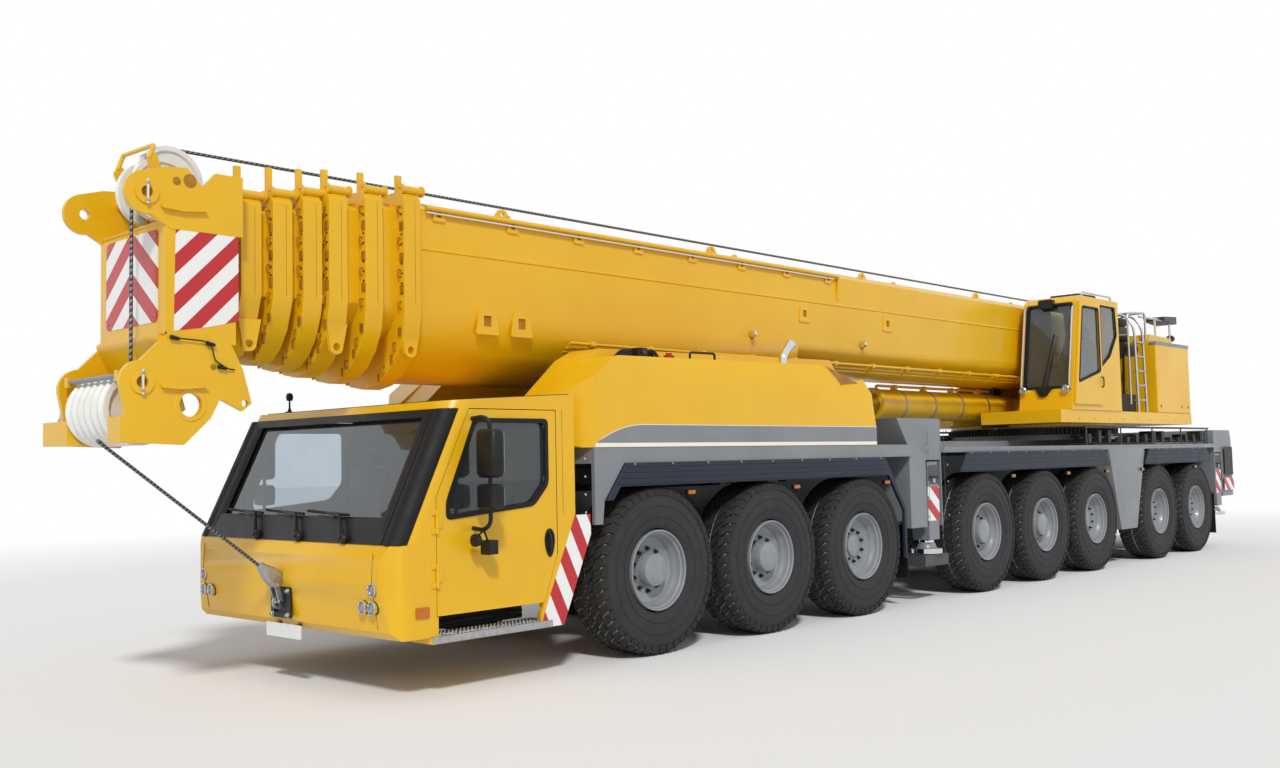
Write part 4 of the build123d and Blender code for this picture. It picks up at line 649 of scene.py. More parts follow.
def set_stage(context):
    """Floor, world, sun and camera."""
    scene = context.scene
    scene.view_settings.view_transform = "Standard"
    ground = bpy.data.materials.new("studio_floor")
    ground.use_nodes = True
    tree = ground.node_tree
    tree.nodes.clear()
    place = add_node(tree, "TexCoord")
    reach = add_node(tree, "VectorMath", {0: (place, "Object")}, operation="LENGTH")
    fade = add_node(
        tree, "MapRange", {"Value": (reach, "Value"), "From Min": 13.0, "From Max": 24.0, "To Min": 0.0, "To Max": 1.0}
    )
    path = add_node(tree, "LightPath")
    seen = add_node(tree, "Math", {0: (fade, "Result"), 1: (path, "Is Camera Ray")}, operation="MULTIPLY")
    matt = add_node(tree, "BsdfDiffuse", {"Color": (0.93, 0.93, 0.93, 1.0)})
    clear = add_node(tree, "Emission", {"Color": (1.0, 1.0, 1.0, 1.0), "Strength": 1.0})
    mix = add_node(tree, "MixShader", {0: (seen, 0), 1: (matt, 0), 2: (clear, 0)})
    add_node(tree, "OutputMaterial", {"Surface": (mix, 0)})
    mesh = bpy.data.meshes.new("studio_floor")
    mesh.from_pydata([(-90, -90, -0.001), (90, -90, -0.001), (90, 90, -0.001), (-90, 90, -0.001)], [], [(0, 1, 2, 3)])
    mesh.materials.append(ground)
    floor = bpy.data.objects.new("studio_floor", mesh)
    scene.collection.objects.link(floor)
    world = bpy.data.worlds.new("studio")
    world.use_nodes = True
    scene.world = world
    tree = world.node_tree
    tree.nodes.clear()
    path = add_node(tree, "LightPath")
    bright = add_node(tree, "Math", {0: (path, "Is Camera Ray"), 1: (path, "Is Transmission Ray")}, operation="MAXIMUM")
    bright = add_node(tree, "Math", {0: (bright, 0), 1: (path, "Is Glossy Ray")}, operation="MAXIMUM")
    level = add_node(tree, "MapRange", {"Value": (bright, 0), "To Min": 0.46, "To Max": 1.0})
    sky = add_node(tree, "Background", {"Color": (1.0, 1.0, 1.0, 1.0), "Strength": (level, "Result")})
    add_node(tree, "OutputWorld", {"Surface": (sky, 0)})
    key = bpy.data.lights.new("key", "SUN")
    key.energy, key.angle = 1.9, radians(7)
    lamp = bpy.data.objects.new("key", key)
    toward = np.array([0.48, 0.58, 0.66])
    lamp.rotation_euler = (0, np.arccos(toward[2] / np.linalg.norm(toward)), atan2(toward[1], toward[0]))
    scene.collection.objects.link(lamp)
    yaw, pitch, roll = radians(-136.7387), radians(3.6202), radians(-1.2407)
    ahead = np.array([cos(yaw) * cos(pitch), sin(yaw) * cos(pitch), sin(pitch)])
    flat = np.array([sin(yaw), -cos(yaw), 0.0])
    over = np.cross(flat, ahead)
    right, up = cos(roll) * flat + sin(roll) * over, cos(roll) * over - sin(roll) * flat
    view = bpy.data.cameras.new("camera")
    view.sensor_width, view.lens = 36.0, 34.32
    camera = bpy.data.objects.new("camera", view)
    turn = np.eye(4)
    turn[:3, :3] = np.stack([right, up, -ahead], 1)
    turn[:3, 3] = (13.5405, 8.8709, 1.7192)
    camera.matrix_world = Matrix(turn.tolist())
    scene.collection.objects.link(camera)
    scene.camera = camera


class CRANE_OT_stage(Operator):
    """Set the floor, the soft light and the camera."""

    bl_idname = "crane.stage"
    bl_label = "Stage"

    def execute(self, context):
        set_stage(context)
        return {"FINISHED"}


def draw_tyre(centre, radius, half, sizes):
    """Carcass and groove band turned about the axle, with tread blocks that are slices of a profile."""
    base = radius - sizes.tread_depth
    lip = half * 0.86
    wall = [
        (0.84, 0.500), (0.90, 0.53), (0.985, 0.60), (1.0, 0.70), (0.985, 0.80), (0.955, 0.86), (0.93, 0.90), (0.90, 0.945)]
    left = [(a * half, b * radius) for a, b in wall]
    carcass = turned(left + [(-a, b) for a, b in reversed(left)], centre, "y", 72, wrap=True)
    rings = [
        turned(
            [
                (s * half * 0.99 * k, radius * r), (s * (half * 0.99 * k + 0.004), radius * (r + 0.003)),
                (s * half * 0.985 * k, radius * (r + 0.006))],
            centre, "y", 72, wrap=True) for s in (1, -1) for r,
        k in ((0.62, 1.0), (0.76, 1.0))]
    band = turned(
        [(-lip, base - 0.03), (-lip, base - 0.008), (0, base), (lip, base - 0.008), (lip, base - 0.03)], centre, "y", 92,
        wrap=True)
    count = sizes.tread_blocks
    crown = radius - 0.0005
    rows = (
        (
            [
                (0.115, base - 0.01), (0.115, crown), (0.80 * half, crown - 0.006), (0.95 * half, crown - 0.026),
                (0.975 * half, radius * 0.89), (0.90 * half, radius * 0.89)],
            0.0, 0.40, 0.9),
        ([(0.012, base - 0.01), (0.012, crown), (0.102, crown - 0.001), (0.102, base - 0.01)], 0.5, 0.42, 1.1),
    )
    blocks = []
    for section, phase, width, skew in rows:
        section = np.array(section)
        for side in (1, -1):
            a = (np.arange(count) + phase * (1 if side > 0 else 0) + (0.25 if side < 0 else 0)) * 2 * pi / count
            lean = section[:, 0] * skew * side
            ends = np.array([-width, width]) * 2 * pi / count
            angle = a[:, None, None] + ends[None, :, None] + lean[None, None, :]
            y = np.broadcast_to(section[:, 0] * side, angle.shape)
            points = np.stack([section[:, 1] * np.cos(angle), y, section[:, 1] * np.sin(angle)], -1) + centre
            n = len(section)
            one = lofted(np.zeros((2, n, 3)))[1]
            shift = (np.arange(count) * 2 * n)[:, None, None]
            blocks.append((points.reshape(-1, 3), [(f[None] + shift).reshape(-1, f.shape[1]) for f in one]))
    return carcass, merged(*rings), band, merged(*blocks)


def draw_rim(centre, radius, half, side, capped, sizes):
    """The dish, stepped from its flange to the nut circle, and the hub under its cap, all turned."""
    def out(y):
        return side * y
    flange, lip = radius * 0.488, half * 0.92
    dish = [
        (out(lip), flange * 0.985), (
            out(lip + 0.006), flange * 0.962), (out(lip - 0.002), flange * 0.935), (out(lip - 0.03), flange * 0.925),
        (out(lip - 0.042), flange * 0.885), (out(lip - 0.085), flange * 0.872), (out(lip - 0.10), flange * 0.83),
        (
            out(0.066), flange * 0.80
        ), (out(0.054), flange * 0.74), (out(0.05), 0.02), (out(0.02), 0.02), (out(0.02), flange * 0.7),
        (out(-0.02), flange * 0.88), (
            out(-lip + 0.03), flange * 0.90), (out(-lip), flange * 0.96), (out(-lip), flange), (out(0), flange * 0.99),
    ]
    parts, studs = [turned(dish, centre, "y", 56, wrap=True)], []
    nuts = 0.190 if capped else 0.168
    for k in range(sizes.wheel_nuts):
        a = 2 * pi * (k + 0.5) / sizes.wheel_nuts
        studs.append(nut(centre + np.array([nuts * cos(a), out(0.05), nuts * sin(a)]), 0.017, out(0.026)))
    if capped:
        cap = [
            (0.05, 0.158), (0.066, 0.158), (0.068, 0.150), (0.150, 0.146), (0.163, 0.140), (0.168, 0.128), (0.170, 0.06),
            (0.170, 0.004)]
    else:
        cap = [(0.05, 0.122), (0.074, 0.120), (0.080, 0.112), (0.082, 0.05), (0.082, 0.004)]
    parts.append(turned([(out(y), r) for y, r in cap], centre, "y", 40))
    return merged(*parts), merged(*studs)


class CRANE_OT_wheels(Operator):
    """Build the sixteen wheels: blocky tyres on deep-dished rims."""

    bl_idname = "crane.wheels"
    bl_label = "Wheels"

    def execute(self, context):
        sizes = context.scene.crane_sizes
        axles = sorted({int(node.split("_")[1]) for node in frame["nodes"] if node.startswith("wheel_")})
        for number in axles:
            for side, word in SIDES:
                node = f"wheel_{number}_{word}"
                low, high = (np.array(v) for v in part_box(node))
                centre, radius, half = (low + high) / 2, (high[2] - low[2]) / 2, (high[1] - low[1]) / 2
                carcass, rings, band, blocks = draw_tyre(centre, radius, half, sizes)
                rim, studs = draw_rim(centre, radius, half, side, number in (1, 2, 4, 5), sizes)
                parts = [
                    (carcass, "tyre_side"), (rings, "tyre_block"), (band, "tyre_groove"), (blocks, "tyre_block"),
                    (rim, "rim_enamel"), (studs, IRON)]
                piece(node + "_dressed", parts, node, replaces=[node], smooth=40)
        return {"FINISHED"}


class CRANE_OT_running_gear(Operator):
    """Finish the axles, their knuckles and the engine."""

    bl_idname = "crane.running_gear"
    bl_label = "Running gear"

    def execute(self, context):
        for node in frame["nodes"]:
            if node.startswith("knuckle_") or node == "axle_beams":
                rounded_part(node, DARK, 0.004)
        rounded_part("engine", IRON, 0.02)
        return {"FINISHED"}


def draw_side_details(low, high, word):
    """What one side carries: panels' seams, side markers and flaps, drawn as on the left."""
    front = edges("outrigger_beam_front_" + word)
    rear = edges("outrigger_beam_rear_" + word)
    jack = edges("outrigger_jack_front_" + word)
    fender = edges("fenders")
    face = high[1]
    parts = Parts()
    x0, x1 = front[0][0] - 0.02, front[1][0] - 0.08
    # panel seams of the cover and bolts along its edges
    for x in (x0 - 0.05, x1 + 0.1):
        parts.add(DARK, box((x - 0.003, x + 0.003), (face, face + 0.0015), (0.95, 2.05)))
    for z in along(1.0, 2.0, 6):
        parts.add(ZINC, bolts([(x1 + 0.12, face, z), (x0 - 0.12, face, z)], 0.012, 0.008))
    # a dark tray, open in the middle, round the place where the front jack comes down
    a, b = jack[0][0] - 0.03, jack[1][0] + 0.03
    parts.add(DARK, holed(rect(a - 0.05, b + 0.05, 1.02, face - 0.02), rect(a, b, 1.05, face - 0.032), "z", (0.42, 0.55)))
    # the rubber flaps hang behind the wheels of each group on a folded rail
    for x, drop in ((fender[0][0] + 4.35, 0.35), (low[0] + 1.05, 0.26), (high[0] - 6.87, 0.32)):
        parts.plate(
            RUBBER, [(x, drop), (x + 0.012, drop), (x + 0.03, 0.95), (x + 0.018, 0.95)], "y", (face - 0.42, face - 0.01),
            0.004)
        parts.add(DARK, box((x, x + 0.04), (face - 0.44, face), (0.93, 0.97)))
    # amber side markers, low under the deck's edge
    for x in (5.05, 3.42, 1.72, -1.32, -2.97, -4.3, -5.65, -7.95):
        parts.plate(PLASTIC, rect(x - 0.055, x + 0.055, 1.405, 1.45), "y", (HALF - 0.03, HALF + 0.001), 0.012)
        parts.plate("amber_lens", rect(x - 0.048, x + 0.048, 1.411, 1.444), "y", (HALF - 0.01, HALF + 0.009), 0.01)
    # rear box, where the frame has room behind the beam: a flat dark sheet as painted shade in place of a recess, and a
    # warning sheet
    x0, x1 = rear[0][0] - 0.52, rear[1][0] - 0.02
    if x0 > low[0]:
        parts.plate(IRON, rect(x0, x0 + 0.42, 1.25, 1.75), "y", (face + 0.001, face + 0.003), 0.02)
        parts.plate("warning_beam", rect(x0 - 0.02, x1 - 0.3, 0.98, 1.2), "y", (face + 0.001, face + 0.003))
    # the deck's tube rail, on short posts
    parts.tube(DARK, [(low[0] + 0.9, face - 0.12, high[2] - 0.07), (-3.9, face - 0.12, high[2] - 0.07)], 0.016)
    for x in along(low[0] + 0.95, -3.95, 5):
        parts.tube(DARK, [(x, face - 0.12, 1.80), (x, face - 0.12, high[2] - 0.07)], 0.012, 8)
    # hard lines and clipped hoses lying on the deck beside the slewing ring
    for k in range(4):
        y, z = face - 0.17 - 0.045 * k, 1.87 + 0.035 * (k % 2)
        parts.tube(
            IRON, [(low[0] + 1.0, y, z), (-6.6, y, z), (-6.3, y - 0.03, z + 0.05), (-3.9, y - 0.03, z + 0.05)], 0.016, 8)
    for x in along(low[0] + 1.2, -4.1, 14):
        parts.add(IRON, box((x - 0.05, x + 0.05), (face - 0.36, face - 0.13), (1.85, 1.93 + 0.05 * (round(x * 7) % 3))))
    # bolts of the deck's side plate ahead of the first wheel
    parts.add(ZINC, bolts([(6.38, face - 0.005, z) for z in along(1.3, 1.75, 4)], 0.011, 0.008))
    return parts


def draw_rear_details(low):
    """Lamps, blank plate and striped panels on the frame's rear face."""
    x = low[0]
    parts = Parts()
    for s in (1, -1):
        y = s * 1.12
        parts.plate(PLASTIC, rect(y - 0.24, y + 0.24, 1.02, 1.16), "x", (x + 0.001, x + 0.05), 0.02)
        for k, lens in enumerate(("red_lens", "red_lens", "amber_lens", "lamp_lens")):
            c = y + s * (0.18 - 0.12 * k)
            parts.plate(lens, rect(c - 0.052, c + 0.052, 1.035, 1.145), "x", (x + 0.0005, x + 0.02), 0.01)
        parts.plate("warning_beam", rect(y - 0.28, y + 0.28, 1.25, 1.75), "x", (x + 0.0004, x + 0.002))
    parts.plate("plate_white", rect(-0.26, 0.26, 1.0, 1.11), "x", (x + 0.0004, x + 0.004), 0.012)
    return parts


class CRANE_OT_chassis(Operator):
    """Finish the frame with its deck edges, markers, mudflaps and lamps."""

    bl_idname = "crane.chassis"
    bl_label = "Chassis"

    def execute(self, context):
        low, high = edges("chassis_frame")
        rounded_part("chassis_frame", GREY, 0.008)
        parts = Parts()
        for side, word in SIDES:
            parts += [(to_side(shape, side), material) for shape, material in draw_side_details(low, high, word)]
        parts += draw_rear_details(low)
        piece("chassis_details", parts, "carrier", 0.0)
        return {"FINISHED"}


def draw_outriggers():
    """Each beam's end panel and grab bar, and each jack's foot."""
    for end in ("front", "rear"):
        for side, word in SIDES:
            beam, jack = f"outrigger_beam_{end}_{word}", f"outrigger_jack_{end}_{word}"
            rounded_part(beam, GREY, 0.006)
            low, high = edges(beam)
            outer = high[1] if side > 0 else -low[1]
            x0, x1 = low[0] + 0.012, high[0] - 0.012
            face = rect(x0, x1, 0.945, 1.345)
            sheet = prism(rounded(face, 0.015), "y", (outer + 0.0005, outer + 0.003))
            lug = turned([(0.0, 0.035), (0.02, 0.035), (0.024, 0.028)], ((x0 + x1) / 2, outer, 1.42), "y", 16)
            cap = rounded(rect(x0 + 0.02, x1 - 0.02, 1.38, 1.60), 0.02)
            bar = [
                (x0 + 0.05, outer + 0.004, 1.46), (x0 + 0.05, outer + 0.04, 1.46), (x1 - 0.05, outer + 0.04, 1.46),
                (x1 - 0.05, outer + 0.004, 1.46)]
            grab = tube(bent(bar, 0.02), 0.011)
            parts = [
                (sheet, "warning_beam"), (lug, ZINC), (grab, PLASTIC),
                (prism(cap, "y", (outer + 0.0005, outer + 0.006)), DARK)]
            piece(
                beam + "_trim", [(to_side(shape, side), material) for shape, material in parts], body_of(beam))
            rounded_part(jack, STEEL, 0.004)
            low, high = edges(jack)
            c = (low + high) / 2
            foot = [
                (low[2] + 0.004, 0.181), (low[2] + 0.045, 0.181), (low[2] + 0.058, 0.168), (low[2] + 0.064, 0.12),
                (low[2] + 0.12, 0.10), (low[2] + 0.13, 0.0905), (low[2] + 0.004, 0.0905)]
            pad = turned(foot, (c[0], c[1], 0.0), "z", 40, wrap=True)
            piece(jack + "_foot", [(pad, GREY)], body_of(jack))


class CRANE_OT_outriggers(Operator):
    """Finish the outrigger beams and jacks, with striped end panels."""

    bl_idname = "crane.outriggers"
    bl_label = "Outriggers"

    def execute(self, context):
        draw_outriggers()
        return {"FINISHED"}


def draw_fenders(context):
    """Ribs, lips and bolts over each group of wheels."""
    rounded_part("fenders", "fender_plastic", 0.008)
    low, high = edges("fenders")
    front, back = high[0], low[0]
    parts = Parts()
    count = context.scene.crane_sizes.fender_ribs
    # rows: (rear x, front x, lower z, upper z, how far each end leans out per metre down)
    rows = (
        (front - 4.417, front - 0.256, 1.53, 1.69, 0.35, 0.78),
        (back + 4.51, back + 8.63, 1.53, 1.73, 0.85, 0.85),
        (back + 0.2, back + 2.8, 1.53, 1.73, 0.85, 0.85),
    )
    for rear_x, front_x, bottom, top, rear_lean, front_lean in rows:
        for z in along(bottom, top - 0.012, count):
            drop = top - z
            x = (rear_x - drop * rear_lean + 0.02, front_x + drop * front_lean - 0.02)
            parts.plate(
                "fender_plastic",
                [
                    (high[1] - 0.002, z - 0.011), (high[1] + 0.007, z - 0.006), (high[1] + 0.007, z + 0.006),
                    (high[1] - 0.002, z + 0.011)],
                "x", x, 0.004, 2, twice=True)
        # a rolled lip along the skirt's lower edge
        parts.tube(
            "fender_plastic",
            [
                (rear_x - (top - bottom) * rear_lean, high[1] - 0.008, bottom - 0.018),
                (front_x + (top - bottom) * front_lean, high[1] - 0.008, bottom - 0.018)],
            0.010, 10, twice=True)
        bolt_row = bolts([(x, high[1], top + 0.005) for x in along(rear_x + 0.1, front_x - 0.1, 9)], 0.010, 0.006)
        parts.add(ZINC, both(bolt_row))
    piece("fender_ribs", parts, "carrier")


class CRANE_OT_fenders(Operator):
    """Mould the ribbed fenders over each group of wheels."""

    bl_idname = "crane.fenders"
    bl_label = "Fenders"

    def execute(self, context):
        draw_fenders(context)
        return {"FINISHED"}


def draw_housings():
    """Band, line, handle, exhaust, hoses and vents of the deck housings."""
    low, high = edges("deck_housings")
    rounded_part("deck_housings", YELLOW, 0.014)
    rear, front, face, base = low[0], high[0] - 0.212, high[1], low[2]
    skin = (face + 0.0006, face + 0.0022)
    parts = Parts()
    # a white line at the foot, and above it the grey sweep that curves up from the front
    parts.plate("white_paint", rect(rear, front, base + 0.002, base + 0.036), "y", skin)
    t = along(0, 1, 14)
    sweep = [(rear, base + 0.04)] + [
        (front - 0.02 - 0.62 * a, base + 0.04 + 0.155 * (1 - (1 - a) ** 2.2)) for a in t] + [(rear, base + 0.195)]
    parts.plate(GREY, sweep, "y", skin)
    lower = np.array(sweep[2:])
    ribbon = np.vstack([lower, (lower + (0, 0.006))[::-1]])
    parts.plate("white_paint", ribbon, "y", (face + 0.0022, face + 0.003))
    # painted shade: a dark sheet on the side skin stands for the shaded face of the notch between the two humps of the
    # top edge
    parts.plate(
        DARK_YELLOW_AND_SHADE, [(rear + 0.34, high[2] - 0.285), (rear + 0.95, high[2] - 0.115), (rear + 0.66, high[2] - 0.31)], "y", skin,
        0.02, 3)
    # grab handle and camera on the outer top edge
    x = rear + 2.7
    top = high[2] - 0.125
    parts.tube(
        PLASTIC,
        [
            (x, face - 0.06, top - 0.01), (x, face - 0.06, top + 0.055), (x + 0.36, face - 0.06, top + 0.05),
            (x + 0.36, face - 0.06, top - 0.015)],
        0.012, bend=0.03)
    parts.plate(PLASTIC, rect(x + 0.95, x + 1.07, top - 0.02, top + 0.06), "y", (face - 0.14, face - 0.05), 0.015)
    parts.turned("screen_glass", [(0, 0.024), (0.012, 0.024), (0.014, 0.018)], (x + 1.01, face - 0.05, top + 0.02), "y", 20)
    # polished exhaust elbow, a filler cap and lashed hoses beside the handle
    path = bent(
        [
            (rear + 1.22, face - 0.36, high[2] - 0.12), (rear + 1.20, face - 0.36, high[2] + 0.01),
            (rear + 1.05, face - 0.36, high[2] + 0.14)],
        0.08)
    parts.tube("hard_chrome", path, (0.042,) * (len(path) - 1) + (0.056,), 20)
    parts.turned(
        "stripe_knob", [(0, 0.05), (0.03, 0.052), (0.04, 0.03), (0.055, 0.028)], (x + 0.5, face - 0.2, top - 0.01), "z", 20)
    for k in range(3):
        parts.tube(
            RUBBER,
            [
                (x + 0.72, face - 0.13 - 0.05 * k, top - 0.02), (x + 0.80, face - 0.12 - 0.05 * k, top + 0.05),
                (x + 1.12, face - 0.12 - 0.05 * k, top + 0.02 * k), (x + 1.2, face - 0.12 - 0.05 * k, top - 0.02)],
            0.016, 8, bend=0.05)
    # louvred vent on the front face of each inner housing; its slats carry the darker enamel as painted shade
    for z in along(base + 0.12, base + 0.40, 6):
        parts.plate(
            DARK_YELLOW_AND_SHADE,
            [(high[0] - 0.052, z), (high[0] - 0.045, z - 0.012), (high[0] - 0.03, z + 0.016), (high[0] - 0.052, z + 0.024)],
            "y", (0.80, 1.06))
    piece("housing_details", parts.placed(both), "carrier")


class CRANE_OT_housings(Operator):
    """Finish the two yellow deck housings, with their grey band and white line."""

    bl_idname = "crane.housings"
    bl_label = "Deck housings"

    def execute(self, context):
        draw_housings()
        return {"FINISHED"}


def behind_screen(centre, middle):
    """Whether a face of the shell lies squarely behind the middle of the windscreen."""
    return abs(centre.x - middle[0]) < 0.25 and abs(centre.y) < 0.2 and abs(centre.z - middle[2]) < 0.2


def screen_x(glass, z, ahead=0.0):
    """A place on the screen's sloping plane at height z, ahead metres in front of the glass."""
    low, high = glass
    share = (z - low[2]) / (high[2] - low[2])
    return high[0] + (low[0] + 0.006 - high[0]) * share + ahead


def draw_screen(glass):
    """Black surround of the windscreen, its lower band, and three wipers."""
    low, high = glass
    half = high[1]
    bottom, top = low[2], high[2]
    parts = Parts()

    def on_slope(outline, ahead, thick):
        rows = []
        for out in (ahead, ahead + thick):
            rows.append([(screen_x(glass, z, out), y, z) for y, z in outline])
        return rows

    side, head, foot = half - 0.03, top + 0.05, bottom - 0.065
    outer = rounded(rect(-side, side, foot, head), 0.02, 5)
    side, head, foot = half - 0.06, top - 0.012, bottom + 0.13
    inner = rounded(rect(-side, side, foot, head), 0.07, 5)
    a, b = on_slope(outer, 0.040, 0.008)
    c, d = on_slope(inner, 0.030, 0.012)
    parts.add(PLASTIC, lofted([c, a, b, d], wrap=True))
    # the corners: black glass edge, then a thick rubber roll; r is the distance from the corner's centre
    turn = np.radians(np.linspace(-24, 66, 25))
    share = np.clip((np.degrees(turn) - 14) / 52, 0, 1)
    reach = 0.2 + 0.008 + 0.045 * np.sin(pi * share) ** 0.8
    inside = np.full(25, 0.194)
    outline = np.vstack(
        [
            np.stack([reach * np.cos(turn), reach * np.sin(turn)], 1),
            np.stack([inside * np.cos(turn), inside * np.sin(turn)], 1)[::-1]])
    rows = [
        [(screen_x(glass, z, 0.038) - 0.2 + u, CAB_FACE - 0.2 + v, z) for u, v in outline]
        for z in along(bottom - 0.065, top + 0.05, 7)]
    parts.add(RUBBER, both(lofted(rows)))
    # wipers: boss, cranked arm and a blade lying on the glass
    for y in (-0.45, 0.19, 0.83):
        z = bottom - 0.03
        boss = (screen_x(glass, z, 0.045), y, z)
        parts.turned(PLASTIC, [(0, 0.045), (0.03, 0.043), (0.05, 0.026)], boss, "x", 16)
        arm = [
            (screen_x(glass, zz, 0.085), yy, zz) for yy,
            zz in ((y, z), (y - 0.06, z + 0.07), (y - 0.15, z + 0.17), (y - 0.34, z + 0.185))]
        parts.tube(PLASTIC, arm, (0.024, 0.019, 0.014, 0.010), 8)
        blade = [
            (screen_x(glass, zz, 0.062), yy, zz) for yy,
            zz in ((y - 0.66, z + 0.20), (y - 0.36, z + 0.185), (y - 0.06, z + 0.175))]
        parts.tube(RUBBER, blade, 0.012, 6)
    return parts


def draw_nose(high):
    """Headlights, towing plate and shackle, blank plate and corner seams."""
    front = high[0]
    parts = Parts()
    for s in (1, -1):
        for y, z in ((1.27, 0.82), (1.15, 0.69), (1.27, 0.69)):
            c = (front - 0.07, s * y, z)
            parts.turned(
                STEEL,
                [
                    (0.0, 0.004), (0.0, 0.030), (0.045, 0.046), (0.066, 0.051), (0.074, 0.0505), (0.076, 0.046),
                    (0.064, 0.043), (0.010, 0.024), (0.006, 0.004)],
                c, "x", 28)
            parts.turned(
                "lamp_lens", [(0.050, 0.003), (0.050, 0.042), (0.062, 0.040), (0.068, 0.024), (0.070, 0.003)], c, "x", 28)
        # seam of the corner panel
        parts.tube(
            DARK_YELLOW_AND_SHADE,
            [
                (front - 0.014, s * (high[1] - 0.23), 1.09), (front, s * (high[1] - 0.23), 0.87),
                (front - 0.055, s * (high[1] - 0.23), 0.53)],
            0.0035, 6)
    # towing plate: a dished black casting with four studs and its shackle
    z0, half = 0.655, 0.145
    ring = rounded(rect(-half, half, z0 - 0.12, z0 + 0.12), 0.02)
    well = rounded(rect(-half + 0.05, half - 0.05, z0 - 0.08, z0 + 0.08), 0.02)
    floor = np.hstack([np.full((len(ring), 1), front - 0.024), ring])
    rim = np.hstack([np.full((len(ring), 1), front - 0.004), ring])
    brink = np.hstack([np.full((len(ring), 1), front - 0.004), well])
    pit = np.hstack([np.full((len(ring), 1), front - 0.020), well])
    parts.add(IRON, lofted([floor, rim, brink, pit]))
    parts.add(
        ZINC,
        merged(
            *(
                nut(np.array((front - 0.004, y, z)), 0.017, 0.02, "x") for y in (-0.115, 0.115)
                for z in (z0 - 0.095, z0 + 0.095))))
    parts.turned(ZINC, rect(-0.012, 0.012, 0.030, 0.048), (front + 0.02, 0, z0), "y", 24, wrap=True)
    # the blank plate hangs upright under the bumper's lip, on two tabs
    parts.plate("plate_white", rect(-0.26, 0.26, 0.375, 0.485), "x", (front - 0.036, front - 0.030), 0.012)
    for y in (-0.15, 0.15):
        parts.add(PLASTIC, box((front - 0.10, front - 0.036), (y - 0.02, y + 0.02), (0.47, 0.482)))
    for s in (1, -1):
        parts.add(
            "amber_lens",
            to_side(
                prism(
                    rounded(rect(front - 0.36, front - 0.24, 0.60, 0.68), 0.012), "y", (CAB_FACE - 0.01, CAB_FACE + 0.012)),
                s))
    return parts


def draw_roof(low, high):
    """Drip edge, roof seams and antenna."""
    rear, front, top = low[0] + 0.175, edges("carrier_cab_glass")[0][0], high[2]
    parts = Parts()

    def roof_z(x):
        return top - (x - rear) * 0.0582

    for s in (1, -1):
        drip = [(x, s * (CAB_FACE - 0.012), roof_z(x) - 0.004) for x in along(rear + 0.05, front - 0.25, 4)]
        parts.tube(RUBBER, drip, 0.010, 8)
    parts.tube(RUBBER, [(front - 0.06, y, roof_z(front - 0.06) - 0.002) for y in along(-1.27, 1.27, 5)], 0.009, 8)
    # the antenna stands on the far front corner
    base = np.array((front - 0.22, -1.18, roof_z(front - 0.22)))
    parts.turned(
        PLASTIC,
        [
            (0, 0.045), (0.012, 0.043), (0.02, 0.02), (0.05, 0.009), (0.115, 0.008), (0.118, 0.026), (0.15, 0.034),
            (0.182, 0.026), (0.19, 0.006)],
        base, "z", 20)
    return parts


def draw_sides(low, high):
    """Left side: striped sheet behind the door, steps' gratings, the space above them, and seams."""
    parts = Parts()
    door = edges("carrier_cab_door_left")
    rear = low[0]
    parts.plate(
        "warning_cab",
        [
            (rear + 0.18, 1.285), (rear + 0.005, 1.285), (rear, 1.12), (rear + 0.325, 0.40), (rear + 0.575, 0.40),
            (rear + 0.535, 0.515)],
        "y", (CAB_FACE + 0.0005, CAB_FACE + 0.003))
    # the step's stamped tread with a turned-down front edge and rows of teeth
    x0, x1 = door[0][0] + 0.09, door[1][0] + 0.05
    z = low[2] + 0.05
    parts.plate(
        "tread_plate",
        [
            (high[1] - 0.255, z + 0.0005), (high[1] + 0.001, z + 0.0005), (high[1] + 0.001, z - 0.047),
            (high[1] + 0.004, z - 0.047), (high[1] + 0.004, z + 0.006), (high[1] - 0.255, z + 0.006)],
        "x", (x0, x1))
    tooth = turned([(0, 0.012), (0.005, 0.010), (0.007, 0.006)], (0, 0, 0), "z", 8)
    places = [(x, y, z + 0.006) for x in along(x0 + 0.05, x1 - 0.05, 30) for y in along(high[1] - 0.22, high[1] - 0.04, 5)]
    parts.add("aluminium", shifted(tooth, *places))
    # the space under the door, with its pipes: a dark back wall stands in as painted shade
    parts.add(IRON, box((x0 + 0.06, x1 - 0.08), (CAB_FACE - 0.30, CAB_FACE - 0.28), (z + 0.01, 0.60)))
    for h in (0.49, 0.53, 0.57):
        parts.tube(RUBBER, [(x0 + 0.1, CAB_FACE - 0.24, h), (x1 - 0.12, CAB_FACE - 0.22, h - 0.01)], 0.012, 8)
    # upright seam behind the door
    parts.add(DARK_YELLOW_AND_SHADE, box((door[0][0] - 0.075, door[0][0] - 0.071), (CAB_FACE, CAB_FACE + 0.0014), (1.30, 2.16)))
    return parts


